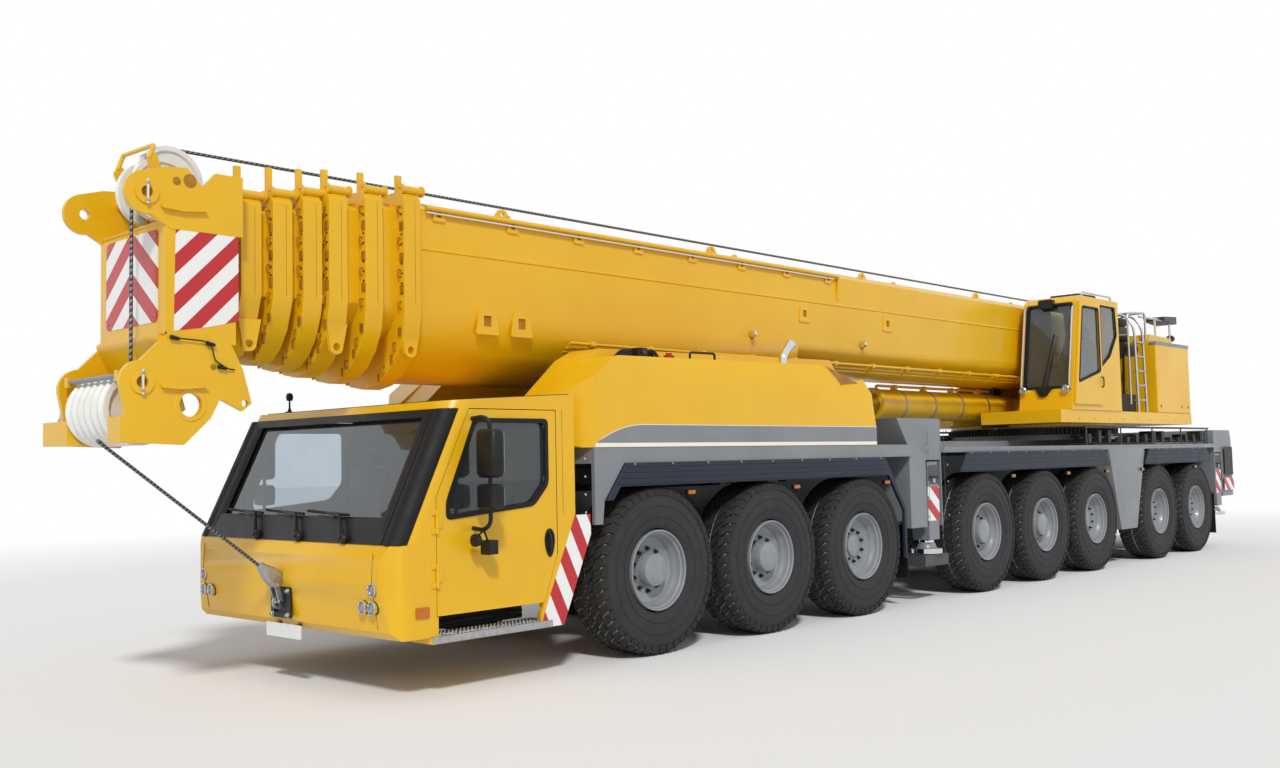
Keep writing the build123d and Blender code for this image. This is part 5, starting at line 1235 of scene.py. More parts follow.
def draw_cabin(low, high):
    """Dashboard, steering wheel and three seats, turned and padded."""
    parts = Parts()
    x0, x1 = low[0], high[0]
    parts.plate(
        "cab_lining",
        [
            (x1, low[2] + 0.02), (x1, high[2] - 0.74), (x1 - 0.05, high[2] - 0.66), (x1 - 0.20, high[2] - 0.70),
            (x1 - 0.26, high[2] - 0.82), (x1 - 0.16, low[2] + 0.02)],
        "y", (low[1], high[1]), 0.04)
    for y in along(low[1] + 0.15, high[1] - 0.15, 9):
        parts.plate(PLASTIC, rect(x1 - 0.16, x1 - 0.12, y - 0.06, y + 0.06), "z", (high[2] - 0.69, high[2] - 0.672), 0.012)
    for y, width in ((0.86, 0.5), (-0.10, 0.46), (-0.86, 0.5)):
        half = width / 2
        parts.plate(
            "seat_cloth",
            [
                (y - half, 1.10), (y + half, 1.10), (y + half, 1.215), (y + half - 0.07, 1.235), (y - half + 0.07, 1.235),
                (y - half, 1.215)],
            "x", (x0 + 0.12, x0 + 0.62), 0.03)
        parts.plate(
            "seat_cloth",
            [
                (y - half, 1.20), (y + half, 1.20), (y + half, 1.58), (y + half - 0.06, 1.72), (y - half + 0.06, 1.72),
                (y - half, 1.58)],
            "x", (x0 + 0.01, x0 + 0.14), 0.06)
        parts.plate("seat_cloth", rect(y - 0.13, y + 0.13, 1.73, 1.90), "x", (x0 + 0.02, x0 + 0.10), 0.04)
        parts.plate(
            PLASTIC, [(y - 0.17, low[2]), (y + 0.17, low[2]), (y + 0.12, 1.11), (y - 0.12, 1.11)], "x",
            (x0 + 0.15, x0 + 0.50), 0.02)
    # steering wheel: a ring leaning towards the driver, on its column
    a = np.linspace(0, 2 * pi, 33)
    c = np.array((x1 - 0.42, 0.86, 1.34))
    u, v = np.array((0.0, 1.0, 0.0)), np.array((0.55, 0.0, 0.835))
    ring = [c + 0.225 * (cos(k) * u + sin(k) * v) for k in a]
    parts.tube(PLASTIC, ring, 0.016, 8)
    parts.tube(PLASTIC, [c - 0.22 * u, c + 0.22 * u], 0.013, 8)
    parts.tube(PLASTIC, [c, c + np.array((0.24, 0, -0.20))], 0.035, 12)
    return parts


def draw_door(word):
    """Door's rubber-framed pane and oval handle."""
    node = "carrier_cab_door_" + word
    low, high = edges(node)
    y_out = CAB_FACE
    x0, x1 = low[0], low[0] + 1.22
    rounded_part(node, YELLOW, 0.006, lambda c: abs(c.y) > y_out + 0.028, CABIN)
    glass = edges("carrier_cab_glass")
    top = high[2] - 0.09
    # the window's front edge follows the screen's slope above the height where that slope meets it
    rise = (glass[1][0] - x1 - 0.169) / (glass[1][0] - glass[0][0] - 0.006)
    bend = glass[0][2] + (glass[1][2] - glass[0][2]) * rise - 0.05
    front_top = screen_x(glass, high[2]) + 0.046 - 0.275
    line = [(x1 - 0.11, 1.33), (x1 - 0.11, bend), (front_top, top), (x0 + 0.11, top), (x0 + 0.11, 1.56), (x0 + 0.26, 1.40)]
    wide, slim = border(line, 0.022), border(line, -0.012)
    parts = Parts([(holed(wide, slim, "y", (y_out - 0.006, y_out + 0.008)), RUBBER)])
    parts.plate("side_glass", border(line, 0.0), "y", (y_out - 0.030, y_out - 0.024))
    parts.add(RUBBER, holed(wide, slim, "y", (y_out - 0.056, y_out - 0.05)))
    # handle: an oval dish with its lever
    c = np.array((x0 + 0.085, 1.075))
    a = np.linspace(0, 2 * pi, 28, endpoint=False)
    oval = c + np.stack([0.052 * np.cos(a) * (1 + 0.18 * np.sin(a)), 0.115 * np.sin(a)], 1)
    hollow = c + (oval - c) * 0.78
    rim = [
        on_plane(l, "y", v) for l,
        v in ((oval, y_out), (oval, y_out + 0.008), (hollow, y_out + 0.008), (hollow, y_out + 0.001))]
    parts.add(PLASTIC, lofted(rim))
    parts.tube(
        PLASTIC,
        [
            (c[0] + 0.005, y_out + 0.002, c[1] + 0.075), (c[0] + 0.008, y_out + 0.026, c[1] + 0.05),
            (c[0] + 0.002, y_out + 0.026, c[1] - 0.05), (c[0], y_out + 0.002, c[1] - 0.075)],
        0.013, 10, bend=0.02)
    return node, parts


def draw_mirrors(word):
    """Rounded mirror housings, their bowed arms and two small close-range mirrors."""
    low, high = edges("carrier_cab_door_" + word)
    x = MIRROR_X
    pole = high[1] - 0.12 if word == "left" else -low[1] - 0.12
    face = CAB_FACE
    parts = Parts()
    parts.tube(
        PLASTIC, [(x + 0.02, face - 0.005, 2.075), (x + 0.02, pole - 0.05, 2.085), (x, pole, 2.05), (x, pole, 1.99)], 0.017,
        12, bend=0.04)
    parts.tube(
        PLASTIC, [(x + 0.02, face - 0.005, 1.235), (x + 0.02, pole - 0.06, 1.22), (x, pole, 1.27), (x, pole, 1.40)], 0.017,
        12, bend=0.05)
    parts.tube(PLASTIC, [(x, pole, 1.37), (x, pole, 2.05)], 0.0165, 12)
    for z0, z1 in ((1.38, 1.57), (1.62, 1.99)):
        sections = []
        for f, w, d in (
            (0.0, 0.72, 0.62), (0.03, 0.90, 0.85), (0.09, 1.0, 1.0), (0.91, 1.0, 1.0), (0.97, 0.90, 0.85), (1.0, 0.72, 0.62)
        ):
            ring = rounded(
                [
                    (x - 0.012 - 0.038 * d, pole - 0.118 * w), (x + 0.058 * d, pole - 0.105 * w),
                    (x + 0.058 * d, pole + 0.105 * w), (x - 0.012 - 0.038 * d, pole + 0.118 * w)],
                0.03, 4)
            sections.append(on_plane(ring, "z", z0 + (z1 - z0) * f))
        parts.add(PLASTIC, lofted(sections))
        parts.plate(
            "hard_chrome", rect(pole - 0.105, pole + 0.105, z0 + 0.02, z1 - 0.02), "x", (x - 0.0535, x - 0.051), 0.03)
    for dx, z, r in ((0.10, 1.15, 0.05), (-0.03, 1.09, 0.055)):
        parts.tube(PLASTIC, [(x + 0.02, pole - 0.06, 1.22), (x + dx, pole - 0.06, z + 0.02)], 0.009, 8)
        if dx > 0:
            parts.turned(
                PLASTIC, [(-0.035, 0.02), (-0.03, 0.042), (0.0, 0.05), (0.018, 0.048), (0.022, 0.02)],
                (x + dx, pole - 0.06, z), "x", 20)
        else:
            parts.plate(
                PLASTIC, rect(pole - 0.06 - r, pole - 0.06 + r, z - r, z + r), "x", (x + dx - 0.045, x + dx + 0.04), 0.015)
    return parts


class CRANE_OT_carrier_cab(Operator):
    """Build the carrier's cab with its doors, mirrors, lamps and steps."""

    bl_idname = "crane.carrier_cab"
    bl_label = "Carrier cab"

    def execute(self, context):
        low, high = edges("carrier_cab_shell")
        glass = edges("carrier_cab_glass")
        # the wall behind the windscreen is opened, so that the cabin is seen through the glass
        middle = (glass[0] + glass[1]) / 2
        rounded_part("carrier_cab_shell", YELLOW, 0.012, lambda c: behind_screen(c, middle), CABIN, True)
        repaint("carrier_cab_glass", "screen_glass")
        piece("windscreen_surround", draw_screen(glass), "carrier")
        piece("cab_nose", draw_nose(high), "carrier")
        piece("cab_roof_trim", draw_roof(low, high), "carrier")
        sides = draw_sides(low, high).placed(both)
        piece("cab_side_trim", sides, "carrier")
        piece("cabin", draw_cabin(*edges("carrier_cab_interior")), "carrier", 0.0, ["carrier_cab_interior"])
        for side, word in SIDES:
            node, parts = draw_door(word)
            parts += draw_mirrors(word)
            parts = [(to_side(shape, side), material) for shape, material in parts]
            piece(node + "_trim", parts, body_of(node))
        return {"FINISHED"}


def draw_base_details(low, high):
    """Pipes, brackets and rail down the left side of the base, and its crease."""
    flank = high[1] - 0.058
    rear, front = low[0] + 0.6, high[0] - 0.3
    parts = Parts()
    # hydraulic and electric lines along the lower edge, under clamps
    for k, (z, r) in enumerate(((2.842, 0.016), (2.80, 0.013), (2.765, 0.011))):
        out = flank + 0.024 - 0.05 * k
        parts.tube(YELLOW, [(rear + 0.4, out, z), (front - 1.6, out, z)], r, 10)
    for x in along(rear + 0.6, front - 1.9, 15):
        parts.plate(
            YELLOW, [(flank - 0.10, 2.745), (flank + 0.045, 2.82), (flank + 0.045, 2.87), (flank - 0.02, 2.87)], "x",
            (x - 0.03, x + 0.03), 0.012, 3)
    # the long folded crease, a shallow raised strake along the flank
    parts.plate(
        YELLOW, [(flank - 0.002, 3.535), (flank + 0.008, 3.545), (flank + 0.008, 3.56), (flank - 0.002, 3.57)], "x",
        (rear + 0.3, front + 0.1))
    # top side rail near the front, on brackets with square holes
    x0, x1 = front - 6.1, front + 0.05
    parts.tube(YELLOW, [(x0, flank, 3.62), (x0, flank + 0.03, 3.90), (x1, flank + 0.03, 3.90)], 0.020, 12, bend=0.05)
    parts.tube(STEEL, [(x0 + 0.1, flank + 0.03, 3.862), (x1, flank + 0.03, 3.862)], 0.009, 8)
    plates = [(x, 3.80, 0.07, 0.12) for x in along(x0 + 0.2, x1 - 0.15, 8)]
    plates += [
        (front - 0.62, 2.86, 0.13, 0.24), (front - 1.02, 2.86, 0.13, 0.24), (front - 5.4, 3.30, 0.11, 0.20),
        (front - 7.2, 3.30, 0.11, 0.20)]
    for x, z, w, h in plates:
        outer = rounded([(x - w, z), (x + w, z), (x + 0.7 * w, z + h), (x - 0.7 * w, z + h)], 0.02)
        inner = rounded(rect(x - w / 3, x + w / 3, z + h * 0.3, z + h * 0.7), 0.008)
        parts.add(YELLOW, holed(outer, inner, "y", (flank - 0.002, flank + 0.016)))
        # painted shade: a dark sheet fills each square hole in place of the shade behind it
        parts.plate(DARK_YELLOW_AND_SHADE, inner, "y", (flank - 0.001, flank + 0.002))
    # small work lamps on arms over the housings
    for x in (front - 4.4, front - 6.6):
        parts.tube(ZINC, [(x, flank, 3.05), (x, flank + 0.06, 3.09)], 0.012, 8)
        parts.turned(STEEL, [(0, 0.012), (0.02, 0.04), (0.05, 0.045), (0.056, 0.03)], (x, flank + 0.05, 3.10), "x", 18)
    # lifting lugs along the top edge
    for x in along(rear + 1.2, front - 0.9, 5):
        parts.add(
            YELLOW,
            holed(
                rounded([(x - 0.10, 3.94), (x + 0.10, 3.94), (x + 0.04, 4.03), (x - 0.04, 4.03)], 0.03),
                rounded(rect(x - 0.02, x + 0.02, 3.965, 4.005), 0.018), "y", (flank - 0.12, flank - 0.095)))
    # rope guide rollers lying across the top
    for x in along(rear + 2.5, front - 1.2, 4):
        parts.plate(
            YELLOW, [(x - 0.05, 3.949), (x + 0.05, 3.949), (x + 0.03, 4.06), (x - 0.03, 4.06)], "y", (0.16, 0.178), 0.012,
            twice=True)
        parts.turned(
            "white_nylon", [(-0.16, 0.010), (-0.16, 0.028), (0.0, 0.024), (0.16, 0.028), (0.16, 0.010)], (x, 0, 4.03), "y",
            20)
    return parts


def draw_collar_details(front, inset, clips):
    """Clips down the rim's face, screws, the fin's cheek and the roller on the upper edge."""
    half = 0.55 - inset + 0.058
    top, shoulder = 3.95 - inset + 0.058, 3.05
    parts = Parts()
    # clips: short bent straps, evenly spaced down the flank and round under the belly
    path = [(half - 0.028, z) for z in along(top - 0.16, shoulder, 7)]
    bottom = 2.44 + inset - 0.058
    for a in along(0.35, 1.15, 5):
        path.append(((half - 0.028) * cos(a), shoulder - (shoulder - bottom - 0.028) * sin(a)))
    for k, (y, z) in enumerate(path[: clips + 1]):
        tilt = 0 if z >= shoulder else atan2(shoulder - z, y)
        c = cos(tilt)
        strap = rect(-0.022, 0.022, -0.035, 0.035)
        ring = [[(front + out, y + u * c, z + v) for u, v in strap] for out in (0.0, 0.012)]
        if k % 2:
            parts.add(DARK_YELLOW_AND_SHADE, lofted(ring))
        else:
            parts.tube(
                DARK_YELLOW_AND_SHADE,
                bent(
                    [
                        (front, y - 0.018, z - 0.028), (front + 0.030, y - 0.018, z - 0.028),
                        (front + 0.030, y - 0.018, z + 0.028), (front, y - 0.018, z + 0.028)],
                    0.012, 3),
                0.0075, 6)
    screws = [(front, half - 0.030, z) for z in along(top - 0.20, shoulder + 0.1, 9)]
    parts.add(IRON, bolts(screws, 0.009, 0.008, "x"))
    # joint of the rim's outer strap
    parts.add(DARK_YELLOW_AND_SHADE, box((front - 0.115, front - 0.112), (half, half + 0.0015), (shoulder, top - 0.08)))
    # short tube roller with ring ends beside the fin
    r = (front - 0.22, front - 0.012)
    parts.tube(YELLOW, [(r[0], half - 0.055, top + 0.022), (r[1], half - 0.055, top + 0.022)], 0.034, 14)
    for x in r:
        parts.turned(YELLOW, rect(x - 0.008, x + 0.008, 0.047, 0.016), (0, half - 0.055, top + 0.022), "x", 18, wrap=True)
    return parts


class CRANE_OT_boom(Operator):
    """Build the boom's base with its pipes, collars and rails, and the sections inside it."""

    bl_idname = "crane.boom"
    bl_label = "Boom"

    def execute(self, context):
        clips = context.scene.crane_sizes.collar_clips
        low, high = edges("boom_base")
        rounded_part("boom_base", YELLOW, 0.008)
        parts = [
            (both(shape) if shape[0][:, 1].min() > 0.01 else shape, material) for shape,
            material in draw_base_details(low, high)]
        parts += draw_collar_details(high[0], 0.0, clips).placed(both)
        piece("boom_base_details", parts, body_of("boom_base"))
        for k in range(1, 7):
            node = f"boom_section_{k}"
            rounded_part(node, YELLOW, 0.006)
            if k < 6:
                high = edges(node)[1]
                parts = draw_collar_details(high[0], 0.04 * k, clips).placed(both)
                piece(node + "_details", parts, body_of(node))
        return {"FINISHED"}


def draw_head():
    """Sheets, pins, ribs, guards, sheaves, and the rope with its socket."""
    high = edges("boom_section_6")[1]
    sheaves = edges("head_sheaves")
    body = body_of("boom_section_6")
    face, front = high[1], high[0] - 0.325
    rear = front - 0.54
    parts = Parts()
    # striped sheets on the sides and the front of the head's box
    parts.plate(
        "warning_side",
        [(front - 0.076, 3.50), (rear - 0.02, 3.512), (rear - 0.02, 2.818), (rear + 0.22, 2.76), (front - 0.063, 2.718)],
        "y", (0.5405, 0.5425), 0.006, 2, twice=True)
    parts.plate("warning_front", rect(-0.43, 0.43, 2.79, 3.46), "x", (front + 0.001, front + 0.004), 0.06, 5)
    parts.add(ZINC, bolts([(front + 0.004, s * 0.39, z) for s in (1, -1) for z in (2.84, 3.41)], 0.011, 0.006, "x"))
    # flange lines where the box's plates are welded
    for z in (2.70, 3.505):
        parts.tube(YELLOW, [(front, y, z) for y in along(-0.54, 0.54, 3)], 0.012, 8)
    # pins in the four lugs: ring, pin stub and a locking bar across it
    for x, z in ((9.72, 3.69), (9.75, 2.345)):
        parts.turned(YELLOW, rect(face, face + 0.014, 0.042, 0.085), (x, 0, z), "y", 32, wrap=True, twice=True)
        parts.turned(
            DARK_YELLOW_AND_SHADE, [(face - 0.05, 0.004), (face - 0.05, 0.048), (face - 0.02, 0.048), (face - 0.02, 0.004)], (x, 0, z),
            "y", 24)
        parts.tube(STEEL, [(x, face + 0.02, z - 0.088), (x, face + 0.02, z + 0.088)], 0.011, 10)
        for dz in (-0.062, 0.062):
            parts.add(ZINC, bolts([(x, face + 0.03, z + dz)], 0.014, 0.008))
    # pivot boss with a round hole, and small bosses, on the lower plate
    parts.turned(
        YELLOW, [(face, 0.086), (face + 0.006, 0.086), (face + 0.006, 0.115), (face, 0.12)], (9.393, 0, 2.191), "y", 36,
        wrap=True, twice=True)
    for x, z, r in ((9.50, 3.80, 0.03), (9.40, 3.815, 0.05), (9.22, 2.47, 0.022)):
        parts.turned(DARK_YELLOW_AND_SHADE, [(face, r), (face + 0.003, r), (face + 0.003, r * 0.3)], (x, 0, z), "y", 24, twice=True)
    # stiffening ribs laid on the plates
    for x, z in ((9.50, 3.60), (9.50, 2.32)):
        parts.plate(
            YELLOW,
            [(x - 0.23, z), (x - 0.04, z + 0.028), (x + 0.12, z + 0.018), (x + 0.12, z - 0.012), (x - 0.04, z - 0.022)],
            "y", (face - 0.001, face + 0.035), 0.012, 3, twice=True)
    # grey guard bar before the low sheaves and the guard over the upper ones
    parts.tube(GREY, [(9.853, -0.46, 2.392), (9.853, 0.46, 2.392)], 0.020, 14)
    parts.add(YELLOW, both(box((9.79, 9.88), (0.40, 0.455), (2.355, 2.43))))
    parts.tube(
        YELLOW, [(9.62, 0.36, 3.98), (9.58, 0.36, 4.085), (9.56, -0.20, 4.115), (9.60, -0.20, 4.0)], 0.017, 10, bend=0.03)
    for y in (0.36, -0.20):
        parts.plate(
            YELLOW, [(9.47, 3.74), (9.53, 3.72), (9.635, 3.97), (9.60, 4.02), (9.565, 4.02)], "y", (y - 0.012, y + 0.012),
            0.015, 3)
    parts.turned(
        ZINC, [(2.105, 0.03), (2.13, 0.03), (2.135, 0.02), (2.19, 0.012), (2.20, 0.012)], (9.80, -0.70, 0.0), "z", 16)
    # connectors and their lead along the lower edge of the side panel
    parts.tube(
        RUBBER,
        [
            (9.55, face + 0.02, 2.665), (9.30, face + 0.022, 2.655), (9.24, face + 0.022, 2.62), (9.22, face + 0.02, 2.52),
            (9.12, face + 0.02, 2.46), (9.06, face + 0.012, 2.455)],
        0.005, 8, bend=0.03)
    for x, z in ((9.52, 2.665), (9.25, 2.635), (9.16, 2.468)):
        parts.tube(PLASTIC, [(x - 0.032, face + 0.02, z - 0.006), (x + 0.032, face + 0.02, z + 0.006)], (0.012, 0.016), 12)
    piece("head_details", parts, body)
    repaint("head_sheaves", "white_nylon")
    # the sheaves again as turned castings: hub, dished web, and rims with round-bottomed grooves
    parts = Parts()
    groove = [(a, -0.030 * cos(a * pi / 2)) for a in along(-1, 1, 7)]
    def wheel(centre, radius, y, width):
        outer = [(y + a * width * 0.36, radius + d) for a, d in groove]
        left = [(y - width / 2, radius * 0.86), (y - width / 2, radius)]
        right = [(y + width / 2, radius), (y + width / 2, radius * 0.86)]
        web = [
            (y + width * 0.22, radius * 0.80), (y + width * 0.16, radius * 0.42), (y + width * 0.42, radius * 0.36),
            (y + width * 0.42, 0.0405)]
        back = [
            (y - width * 0.42, 0.0405), (y - width * 0.42, radius * 0.36), (y - width * 0.16, radius * 0.42),
            (y - width * 0.22, radius * 0.80)]
        return turned(left + outer + right + web + back, centre, "y", 56, wrap=True)

    upper = [((9.45, 0, 3.79), 0.245, 0.0), ((9.45, 0, 3.79), 0.245, 0.215), ((9.35, 0, 3.90), 0.26, 0.10)]
    for centre, radius, y in upper:
        parts.add("white_nylon", wheel(centre, radius, y, 0.06))
    half, count = sheaves[1][1], 6
    for k in range(count):
        y = -half + (k + 0.5) * 2 * half / count
        parts.add("white_nylon", wheel((9.66, 0, 2.17), 0.262, y, 2 * half / count * 0.995))
    piece("head_sheaves_turned", parts, body, 0.0, ["head_sheaves"])
    repaint("hoist_rope", "wire_rope")
    # wedge socket between the rope's end and the towing plate
    rope = edges("hoist_rope")
    low_end = np.array((8.48, 0.0, rope[0][2] + 0.01))
    toward = np.array((0.70, 0.0, 0.60))
    toward /= np.linalg.norm(toward)
    up = np.array((-toward[2], 0, toward[0]))
    side = np.array((0, 1.0, 0))
    sections = []
    for d, w, h in (
        (0.10, 0.026, 0.026), (0.06, 0.034, 0.036), (-0.02, 0.045, 0.06), (-0.10, 0.05, 0.07), (-0.13, 0.04, 0.06)
    ):
        c = low_end + toward * d
        ring = rounded(rect(-w, w, -h, h), 0.02, 3)
        sections.append([c + side * u + up * v for u, v in ring])
    parts = Parts([(lofted(sections), ZINC)])
    for s in (1, -1):
        parts.add(
            ZINC,
            to_side(
                prism(rounded([(8.365, 0.665), (8.40, 0.64), (8.44, 0.80), (8.41, 0.835)], 0.01, 3), "y", (0.032, 0.048)), s
            ))
    parts.tube(STEEL, [(8.395, -0.06, 0.665), (8.395, 0.06, 0.665)], 0.014, 12)
    parts.tube(STEEL, [(8.425, -0.06, 0.80), (8.425, 0.06, 0.80)], 0.014, 12)
    piece("rope_socket", parts, body)


class CRANE_OT_head(Operator):
    """Build the boom head's sheaves, plates and rope."""

    bl_idname = "crane.head"
    bl_label = "Boom head"

    def execute(self, context):
        draw_head()
        return {"FINISHED"}


def draw_ring():
    """Toothed slewing ring under the platform: one tooth's profile repeated round a full turn."""
    centre = (-5.03, 0.0, 0.0)
    tooth = prism([(1.262, -0.012), (1.296, -0.006), (1.296, 0.006), (1.262, 0.012)], "z", (1.99, 2.085))
    tooth = (tooth[0] + centre, tooth[1])
    race = turned([(1.97, 1.20), (1.985, 1.265), (2.09, 1.265), (2.098, 1.20)], centre, "z", 96, wrap=True)
    return merged(race, circled(tooth, centre, 120, "z"))


def draw_ladder(steps):
    """Tube stiles that curve over the house's edge, and flat treads."""
    low, high = edges("ladder")
    parts = Parts()
    for x in (low[0] + 0.02, high[0] - 0.02):
        parts.tube(
            "aluminium",
            [
                (x, 1.41, low[2] + 0.001), (x, 1.39, high[2] + 0.22), (x, 1.22, high[2] + 0.42), (x, 1.0, high[2] + 0.40),
                (x, 0.98, high[2] + 0.02)],
            0.019, 12, bend=0.16)
    for k in range(steps):
        z = low[2] + 0.18 + (high[2] - low[2] - 0.24) * k / max(steps - 1, 1)
        parts.plate("tread_plate", rect(1.345, 1.425, z, z + 0.028), "x", (low[0] + 0.03, high[0] - 0.03), 0.006)
    piece("ladder_tubes", parts, "superstructure", 0.0, ["ladder"])


def draw_machinery():
    """Valve blocks, a motor and hard lines between the platform's cheeks, dark and oily."""
    parts = Parts()
    for s in (1, -1):
        parts.add(IRON, box((-6.35, -5.75), (s * 0.72, s * 1.18), (2.32, 2.62)))
        for k, x in enumerate(along(-6.28, -5.83, 5)):
            parts.turned(
                ZINC, [(2.62, 0.038), (2.70, 0.038), (2.72, 0.026), (2.80, 0.026), (2.81, 0.012)],
                (x, s * (0.82 + 0.06 * (k % 2)), 0.0), "z", 16)
        for k in range(4):
            y = s * (0.78 + 0.07 * k)
            parts.tube(
                RUBBER, [(-6.35, y, 2.40 + 0.05 * k), (-6.50, y, 2.40 + 0.05 * k), (-6.53, s * 0.70, 2.48 + 0.06 * k)],
                0.014, 8, bend=0.05)
    # tube guard with machinery under it, behind the crane driver's cab
    for y in (0.78, 1.32):
        parts.tube(
            "aluminium", [(-5.78, y, 2.45), (-5.78, y, 3.90), (-6.50, y, 3.95), (-6.50, y, 3.50)], 0.018, 12, bend=0.1)
    for x, z in ((-5.78, 3.55), (-5.92, 3.91), (-6.18, 3.93), (-6.45, 3.94)):
        parts.tube("aluminium", [(x, 0.78, z), (x, 1.32, z)], 0.014, 10)
    for x, y, z, r, length in (
        (-6.12, 0.95, 3.62, 0.15, 0.62), (-6.05, 1.18, 3.34, 0.11, 0.45), (-6.38, 0.86, 3.30, 0.09, 0.28),
        (-6.0, 1.12, 3.78, 0.07, 0.30)
    ):
        parts.turned(
            IRON,
            [
                (-length / 2, 0.02), (-length / 2, r * 0.8), (-length / 2 + 0.03, r), (length / 2 - 0.03, r),
                (length / 2, r * 0.8), (length / 2, 0.02)],
            (x, y, z), "x", 28)
    for k in range(5):
        parts.tube(
            RUBBER,
            [
                (-5.70 - 0.05 * k, 0.84 + 0.08 * k, 2.6), (-5.78 - 0.04 * k, 0.86 + 0.08 * k, 3.3 + 0.05 * k),
                (-5.95, 0.90 + 0.07 * k, 3.62 - 0.07 * k), (-6.4, 0.86 + 0.05 * k, 3.5)],
            0.018, 8, bend=0.2)
    parts.add(DARK, box((-5.75, -5.62), (0.74, 0.86), (2.32, 3.55)))
    parts.add(DARK, box((-6.45, -6.33), (0.74, 0.86), (2.32, 3.22)))
    # camera bracket and dark cover on posts over the machinery house
    for x in (-7.20, -7.85):
        parts.tube("aluminium", [(x, 1.22, 3.45), (x, 1.22, 3.92)], 0.018, 10)
    parts.tube("aluminium", [(-6.52, 1.22, 3.90), (-7.98, 1.22, 3.92)], 0.018, 10)
    parts.plate(DARK, [(-7.98, 3.86), (-7.45, 3.90), (-7.40, 3.96), (-7.98, 3.99)], "y", (0.95, 1.30), 0.02)
    parts.turned(IRON, [(-0.06, 0.02), (-0.05, 0.05), (0.05, 0.06), (0.06, 0.03)], (-7.9, 1.22, 3.62), "x", 20)
    # tank with straps on the right, behind the boom's foot
    parts.turned(
        GREY, [(-6.30, 0.02), (-6.30, 0.18), (-6.26, 0.21), (-5.30, 0.21), (-5.26, 0.18), (-5.26, 0.02)], (0, -1.10, 2.86),
        "x", 40)
    for x in (-6.1, -5.5):
        parts.turned(
            ZINC, [(x - 0.02, 0.205), (x - 0.02, 0.216), (x + 0.02, 0.216), (x + 0.02, 0.205)], (0, -1.10, 2.86), "x", 40,
            wrap=True)
        parts.add(DARK, box((x - 0.03, x + 0.03), (-1.20, -1.0), (2.60, 2.68)))
    piece("machinery", parts, "superstructure")


def draw_winch():
    """Grooved drum with rope laid on it, between its flanges."""
    low, high = edges("hoist_winch")
    centre = (low + high) / 2
    half, radius = high[1] - 0.03, (high[2] - low[2]) / 2
    drum = radius * 0.80
    turns = 22
    y = np.linspace(-half + 0.01, half - 0.01, turns * 6 + 1)
    crown = drum + 0.014 * np.abs(np.sin(pi * np.arange(len(y)) / 6))
    profile = [(-half, 0.075), (-half, drum)] + list(zip(y, crown)) + [(half, drum), (half, 0.075)]
    rope = turned(profile, centre, "y", 48, wrap=True)
    flange = turned(
        [
            (half, 0.075), (half, radius - 0.01), (half + 0.006, radius), (half + 0.024, radius),
            (half + 0.03, radius - 0.01), (half + 0.03, 0.075)],
        centre, "y", 48, wrap=True)
    parts = Parts([(rope, "wire_rope"), (flange, DARK), (flipped(flange), DARK)])
    for k in range(8):
        a = 2 * pi * k / 8
        parts.add(ZINC, both(bolts([centre + np.array((0.15 * cos(a), half + 0.03, 0.15 * sin(a)))], 0.014, 0.01)))
    piece("hoist_winch_dressed", parts, "hoist_winch", 0.0, ["hoist_winch"])


def draw_cylinder():
    """The luffing cylinder's gland, feed line and clamps, and its polished rod."""
    rounded_part("luffing_barrel", YELLOW, 0.008)
    low, high = edges("luffing_barrel")
    z, r = (low[2] + high[2]) / 2, (high[2] - low[2]) / 2
    parts = Parts()
    parts.turned(
        YELLOW,
        [
            (high[0] - 0.10, 0.160), (high[0] - 0.10, r + 0.014), (high[0] - 0.01, r + 0.014), (high[0] - 0.001, r),
            (high[0] - 0.001, 0.160)],
        (0, 0, z), "x", 48, wrap=True)
    parts.tube(
        YELLOW,
        [
            (high[0] - 0.16, 0.0, z + r - 0.01), (high[0] - 0.16, 0.0, z + r + 0.045), (low[0] + 0.7, 0.0, z + r + 0.045),
            (low[0] + 0.7, 0.0, z + r - 0.01)],
        0.019, 12, bend=0.04)
    for x in along(low[0] + 1.1, high[0] - 0.6, 4):
        parts.add(YELLOW, box((x - 0.025, x + 0.025), (-0.04, 0.04), (z + r - 0.012, z + r + 0.068)))
        parts.turned(
            ZINC, [(x - 0.02, r - 0.002), (x - 0.02, r + 0.006), (x + 0.02, r + 0.006), (x + 0.02, r - 0.002)], (0, 0, z),
            "x", 48, wrap=True)
    parts.add(IRON, box((low[0] + 0.50, low[0] + 0.72), (-0.09, 0.09), (z + r - 0.02, z + r + 0.10)))
    piece("luffing_barrel_details", parts, "luffing_barrel")
    rounded_part("luffing_rod", "hard_chrome", 0.0)


